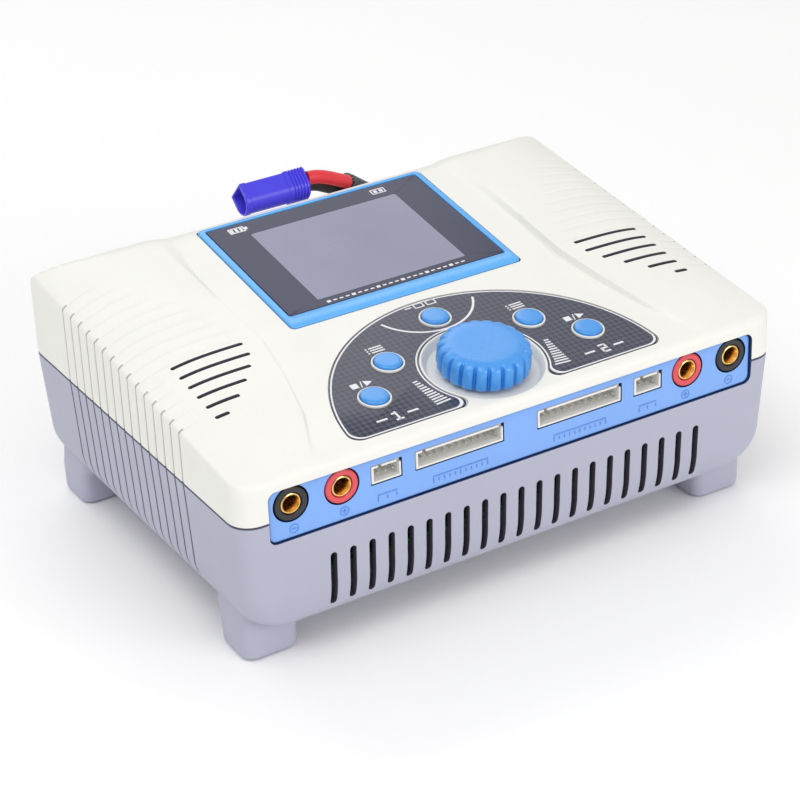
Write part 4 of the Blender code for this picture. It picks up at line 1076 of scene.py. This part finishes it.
def build_sockets(m):
    shell = [(3.5, 0.1), (3.7, 0.35), (4.7, 0.4), (5.05, 0.3), (5.25, 0.1), (SOCKET_R, -0.2),
             (SOCKET_R, -3.8), (7.0, -3.8), (7.0, -5.6), (SOCKET_R, -5.6), (SOCKET_R, -11.0), (3.5, -11.0)]
    sleeve = [(2.75, 0.15), (2.95, 0.2), (3.2, 0.05), (3.3, -0.3), (3.3, -12.8), (1.2, -12.8), (1.2, -11.5),
              (2.0, -11.5), (2.0, -2.2), (2.1, -1.6), (2.45, -0.5)]
    for channel, side in ((1, -1), (2, 1)):
        for pole, x in SOCKET_X:
            place = placed(side * x, PANEL_Y + 0.1, CONNECTOR_Z) @ FRONT
            mat = m["red"] if pole == "plus" else m["black"]
            slot = "red_plastic" if pole == "plus" else "black_plastic"
            piece(f"socket_ring_{channel}_{pole}", turned(shell[::-1], 56, True), mat, place, 35,
                  nodes=(f"output_socket_{channel}_{pole}",), slot=slot)
            piece(f"socket_sleeve_{channel}_{pole}", turned(sleeve[::-1], 48, True), m["gold"], place, 35,
                  nodes=(f"output_contact_{channel}_{pole}",), slot="gilt_brass")


def build_headers(m):
    for kind, x, pins in HEADERS:
        half, high = header_width(pins) / 2, HEADER_H / 2
        for channel, side in ((1, -1), (2, 1)):
            place = placed(side * x, PANEL_Y, CONNECTOR_Z) @ FRONT
            rings = [rounded_box(half - s, high - s, 0.25, w, 3) for w, s in
                     ((-HEADER_L, 0.0), (-0.2, 0.0), (0.0, 0.15), (0.0, 0.7), (-6.4, 0.85))]
            shell = raw_object(f"{kind}_shell_{channel}", loft(bmesh.new(), rings), m["nylon"], place)
            normals_out(shell)
            keys = bmesh.new()
            block(keys, (-half + 2.2, high - 1.4, -3.0), (-half + 3.4, high + 1, 2))
            block(keys, (half - 1.6, high - 1.1, -1.2), (half + 1, high + 1, 2))
            carve(shell, keys, m["nylon"], place)
            finish_piece(shell, 30, "case", (f"{kind}_header_{channel}",))
            bm = bmesh.new()
            for k in range(pins):
                u = (k - (pins - 1) / 2) * PIN_PITCH
                loft(bm, [[(u - s, -s, w), (u + s, -s, w), (u + s, s, w), (u - s, s, w)] for w, s in
                          ((-6.2, 0.32), (-1.1, 0.32), (-0.6, 0.14))])
            piece(f"{kind}_pin_row_{channel}", bm, m["tin"], place, 0,
                  nodes=(f"{kind}_pins_{channel}",), slot="steel")


# ---------------------------------------------------------------- display


def build_display(m):
    middle, half_v = (0, sum(FRAME_V) / 2), (FRAME_V[1] - FRAME_V[0]) / 2
    pane, half = (0, sum(GLASS_V) / 2), (GLASS_V[1] - GLASS_V[0]) / 2
    outside = ((-4.0, 0.0), (0.0, 0.0), (0.25, 0.08), (0.45, 0.28), (0.55, 0.55))
    rings = [rounded_box(FRAME_U - s, half_v - s, 1.6, w, 6, middle) for w, s in outside]
    rings += [rounded_box(GLASS_U + s, half + s, 1.0, w, 6, pane) for w, s in
              ((0.62, 0.25), (0.5, 0.05), (0.2, 0.0), (-1.0, 0.0))]
    rings += [rounded_box(35, 24, 1.0, w, 6, pane) for w in (-1.0, -4.0)]
    frame_obj = raw_object("display_bezel", loft(bmesh.new(), rings, closed=True), m["sky"], DECK)
    normals_out(frame_obj)
    clips = bmesh.new()
    for side in (-1, 1):
        low, high = sorted((side * 39.8, side * 43.2))
        block(clips, (low, 68, -3.95), (high, 116, -2.7))
    carve(frame_obj, clips, m["sky"], DECK, "UNION")
    finish_piece(frame_obj, 30, "case", ("display_frame",))

    bm = bmesh.new()
    inner_u, inner_v = GLASS_U - GAP, half - GAP
    stack = [(-0.7, 0.0), (0.3, 0.0), (0.44, 0.08), (0.5, 0.22)]
    rings = [rounded_box(inner_u - s, inner_v - s, 0.9, w, 6, pane) for w, s in stack]
    rows = [[bm.verts.new(p) for p in ring] for ring in rings]
    screen_v = (72.0, 114.9)
    centre = (0, sum(screen_v) / 2)
    for w, s in ((0.5, 0.0), (0.44, 0.12), (0.44, 0.9)):
        ring = rounded_box(26.8 - s, (screen_v[1] - screen_v[0]) / 2 - s, 0.5, w, 6, centre)
        rows.append([bm.verts.new(p) for p in ring])
    for k, (low, high) in enumerate(zip(rows, rows[1:])):
        for i in range(len(low)):
            j = (i + 1) % len(low)
            face = bm.faces.new((low[i], low[j], high[j], high[i]))
            face.material_index = 1 if k == len(rows) - 2 else 0
    bm.faces.new(rows[0][::-1])
    bm.faces.new(rows[-1]).material_index = 1
    piece("display_pane", bm, [m["glass"], m["lcd"]], DECK, 20,
          nodes=("display_window",), slot="display_glass")

    ink = bmesh.new()
    level = (0.5, 0.53)
    frame_mark(ink, (-29.5, 118.7), 5.6, 3.0, 0.45, level)
    plate(ink, (-26.2, 118.7), 0.9, 1.4, level)
    for k in range(3):
        plate(ink, (-31.2 + 1.6 * k, 118.7), 1.0, 1.8, level)
    frame_mark(ink, (22.6, 118.7), 5.2, 2.8, 0.4, level)
    for k in range(2):
        plate(ink, (21.6 + 2.0 * k, 118.7), 1.2, 1.4, level)
    for k in range(23):
        plate(ink, (-24.2 + 2.2 * k, 69.7), 1.3, 0.55 if k % 4 else 1.1, level)
    piece("display_marks", ink, m["ink"], DECK, 0, slot="display_glass")


def plate(bm, centre, wide, high, level, turn=0.0):
    """A small flat printed bar."""
    points = []
    for a, b in ((-1, -1), (1, -1), (1, 1), (-1, 1)):
        x, y = a * wide / 2, b * high / 2
        points.append((centre[0] + x * math.cos(turn) - y * math.sin(turn),
                       centre[1] + x * math.sin(turn) + y * math.cos(turn)))
    return loft(bm, [[(x, y, w) for x, y in points] for w in level])


def frame_mark(bm, centre, wide, high, width, level):
    rings = []
    for shrink, w in ((0, level[0]), (0, level[1]), (width, level[1]), (width, level[0])):
        rings.append(rounded_box(wide / 2 - shrink, high / 2 - shrink, 0.25, w, 3, centre))
    return loft(bm, rings, closed=True)


def band(bm, centre, radius, width, start, end, level, steps=40):
    """A printed line that follows an arc."""
    outer = arc(centre, radius + width / 2, start, end, steps)
    inner = arc(centre, radius - width / 2, end, start, steps)
    return loft(bm, [[(x, y, w) for x, y in outer + inner] for w in level])


# ---------------------------------------------------------------- control deck


def build_label(m):
    rings = [label_outline(w, g) for w, g in ((-0.5, 0.0), (-0.14, 0.0), (-0.1, -0.05))]
    film = raw_object("control_film", loft(bmesh.new(), rings), m["label"], DECK)
    normals_out(film)
    holes = bmesh.new()
    for _, u, v in BUTTONS:
        on_deck(holes, [circle(COLLAR_R + 0.2, w, 40, (u, v)) for w in (-3, 3)])
    carve(film, holes, m["label"])
    finish_piece(film, 30, "case", ("control_label",))

    ink = bmesh.new()
    level = (-0.11, -0.06)
    rings = []
    for g, w in ((-0.35, level[0]), (-0.35, level[1]), (-0.85, level[1]), (-0.85, level[0])):
        rings.append(label_outline(w, g))
    loft(ink, rings, closed=True)
    band(ink, (0, 58.6), 17.6, 0.75, 202.0, 338.0, level)
    for side in (-1, 1):
        for k in range(11):
            t = k / 10
            near, far = 18.3 + 4.0 * t**0.8, 23.5 + 0.4 * t
            plate(ink, (side * (near + far) / 2, 9.4 + 12.2 * t), far - near, 0.6, level, -side * 0.10)
    digit(ink, "1", (-36.2, 9.9), 4.2, level)
    digit(ink, "2", (36.2, 9.9), 4.2, level)
    for side in (-1, 1):
        for offset in (-5.2, 5.2):
            plate(ink, (side * 36.2 + offset, 9.9), 3.6, 0.75, level)
    status_icon(ink, (-25.0, 41.5), level)
    status_icon(ink, (25.0, 41.5), level)
    start_icon(ink, (-37.6, 28.0), level)
    start_icon(ink, (37.6, 28.0), level)
    frame_mark(ink, (-0.9, 55.6), 3.4, 2.4, 0.4, level)
    frame_mark(ink, (3.4, 55.6), 3.4, 2.4, 0.4, level)
    plate(ink, (-4.6, 55.6), 2.4, 0.5, level)
    piece("control_marks", ink, m["ink"], DECK, 0, slot="label_film")


def digit(bm, figure, centre, high, level):
    """A square-cut numeral made of bars."""
    bar, half = high * 0.17, high * 0.5
    wide = high * 0.62
    strokes = {
        "1": [(0, 0, bar, high), (-wide * 0.28, half - bar, wide * 0.5, bar),
              (0, -half + bar / 2, wide, bar)],
        "2": [(0, half - bar / 2, wide, bar), (wide / 2 - bar / 2, half / 2, bar, half),
              (0, 0, wide, bar), (-wide / 2 + bar / 2, -half / 2, bar, half),
              (0, -half + bar / 2, wide, bar)],
    }
    for u, v, w, h in strokes[figure]:
        plate(bm, (centre[0] + u, centre[1] + v), w, h, level)


def status_icon(bm, centre, level):
    """Three lines of a list, each with its dot."""
    for k in (-1, 0, 1):
        plate(bm, (centre[0] - 2.4, centre[1] + 1.15 * k), 0.6, 0.55, level)
        plate(bm, (centre[0] + 0.7, centre[1] + 1.15 * k), 4.4, 0.55, level)


def start_icon(bm, centre, level):
    """A stop square and a start triangle."""
    plate(bm, (centre[0] - 2.3, centre[1]), 2.3, 2.3, level)
    u, v = centre[0] + 2.3, centre[1]
    outline = [(u - 1.2, v - 1.4), (u + 1.4, v), (u - 1.2, v + 1.4)]
    loft(bm, [[(x, y, w) for x, y in outline] for w in level])
    plate(bm, centre, 0.35, 3.0, level, -0.3)


def build_buttons(m):
    profile = [(1.5, STEM_W), (1.5, -3.5), (5.0, -3.5), (5.0, -2.6), (BUTTON_R, -2.6), (BUTTON_R, 0.55),
               (BUTTON_R - 0.06, 0.8), (BUTTON_R - 0.22, 1.0), (BUTTON_R - 0.5, 1.12), (3.2, 1.17),
               (2.0, 1.2), (0.6, 1.2)]
    for name, u, v in BUTTONS:
        place = DECK @ placed(u, v, 0)
        body = {"tab": "tab_cap"}.get(name) or f"{name[:-2]}_cap{name[-2:]}"
        piece(f"cap_{name}", turned(profile, 48), m["button"], place, 35, body,
              (f"button_{name}",), "button_plastic")


def dial_ring(radius, level, groove, swell, count=20, fine=12):
    """One ring of the jog dial: soft lobes, parted by a narrow rib between two grooves."""
    points = []
    for i in range(count):
        for j in range(fine):
            t = j / fine - 0.5
            side = abs(t)
            lobe = swell * (1 - (side / 0.40) ** 2) if side < 0.40 else 0.0
            cut = groove * max(0.0, 1 - abs(side - 0.415) / 0.05)
            a = 2 * math.pi * (i + t) / count
            r = radius - swell + lobe - cut
            points.append((r * math.cos(a), r * math.sin(a), level))
    return points


def build_dial(m):
    rings = [dial_ring(DIAL_R - 0.9, -1.2, 0.2, 0.3)]
    for w, shrink, groove, swell in (
        (-0.9, 0.35, 0.5, 0.45), (-0.3, 0.0, 0.6, 0.55), (1.0, 0.0, 0.65, 0.55), (3.0, 0.05, 0.65, 0.55),
        (4.6, 0.12, 0.65, 0.55), (5.4, 0.35, 0.6, 0.52), (6.05, 0.8, 0.55, 0.45), (6.55, 1.45, 0.45, 0.32),
        (6.9, 2.3, 0.32, 0.18), (7.1, 3.1, 0.2, 0.06), (7.18, 3.9, 0.1, 0.0), (7.2, 5.0, 0.0, 0.0),
        (7.12, 8.0, 0.0, 0.0), (7.05, 11.0, 0.0, 0.0),
    ):
        rings.append(dial_ring(DIAL_R - shrink, w, groove, swell))
    place = DECK @ placed(0, DIAL_V, 0)
    dial = raw_object("dial_cap", loft(bmesh.new(), rings), m["dial"], place)
    normals_out(dial)
    carve(dial, turned([(3.3, -3), (3.3, 4.8)], 32), m["dial"], place)
    finish_piece(dial, 40, "jog", ("jog_knob",))


# ---------------------------------------------------------------- pieces kept from the CAD


def dress_nodes(m):
    """Better materials on the CAD solids that keep their own shape."""
    finishes = {
        "case_screw": "steel", "encoder_body": "steel", "encoder_shaft": "alu", "encoder_plunger": "black",
        "switch": "black", "lcd_module": "black", "buzzer": "black", "capacitor": "black",
        "fan_frame": "black", "fan_rotor": "black", "heatsink": "alu", "inductor": "copper",
        "control_board": "board", "main_board": "board",
    }
    for name, obj in NODES.items():
        for start, finish in finishes.items():
            if name.startswith(start) and not obj.hide_render:
                for slot in obj.material_slots:
                    slot.material = m[finish]


# ---------------------------------------------------------------- studio


def add_area(name, place, aim, size, power, colour=(1, 1, 1)):
    light = bpy.data.lights.new(name, "AREA")
    light.shape = "RECTANGLE"
    light.size, light.size_y = size
    light.energy = power
    light.color = colour
    obj = bpy.data.objects.new(name, light)
    obj.location = place
    obj.rotation_euler = (Vector(aim) - Vector(place)).to_track_quat("-Z", "Y").to_euler()
    bpy.context.collection.objects.link(obj)


def build_studio():
    floor = Shader("studio_floor", (0.97, 0.97, 0.97), 0.7)
    tone = floor.fit(floor.noise(3.0, 2.0), 0.0, 1.0)
    floor.paint(floor.blend(tone, (0.965, 0.965, 0.965), (0.98, 0.98, 0.98)))
    bm = bmesh.new()
    bmesh.ops.create_grid(bm, x_segments=8, y_segments=8, size=4.0)
    mesh = bpy.data.meshes.new("floor")
    bm.to_mesh(mesh)
    bm.free()
    mesh.materials.append(floor.material)
    ground = bpy.data.objects.new("floor", mesh)
    ground.location = (0, 0, -0.0002)
    bpy.context.collection.objects.link(ground)
    world = bpy.data.worlds.new("studio")
    world.use_nodes = True
    world.node_tree.nodes["Background"].inputs["Color"].default_value = (1.0, 1.0, 1.0, 1.0)
    world.node_tree.nodes["Background"].inputs["Strength"].default_value = 0.64
    bpy.context.scene.world = world
    bpy.context.scene.view_settings.view_transform = "Standard"
    add_area("key", (-0.55, -0.35, 1.1), (0, 0, 0.05), (0.9, 0.9), 5.6)
    add_area("front", (0.35, -1.2, 0.55), (0, 0, 0.04), (0.8, 0.5), 4.6, (1.0, 0.97, 0.94))
    add_area("rear", (0.1, 0.9, 0.9), (0, 0, 0.05), (1.2, 0.5), 2.6)


# ---------------------------------------------------------------- all of it

materials = make_materials()
add_camera()
build_lead(materials)
build_top_case(materials)
build_bottom_case(materials)
build_front_panel(materials)
build_sockets(materials)
build_headers(materials)
build_display(materials)
build_label(materials)
build_buttons(materials)
build_dial(materials)
dress_nodes(materials)
build_studio()
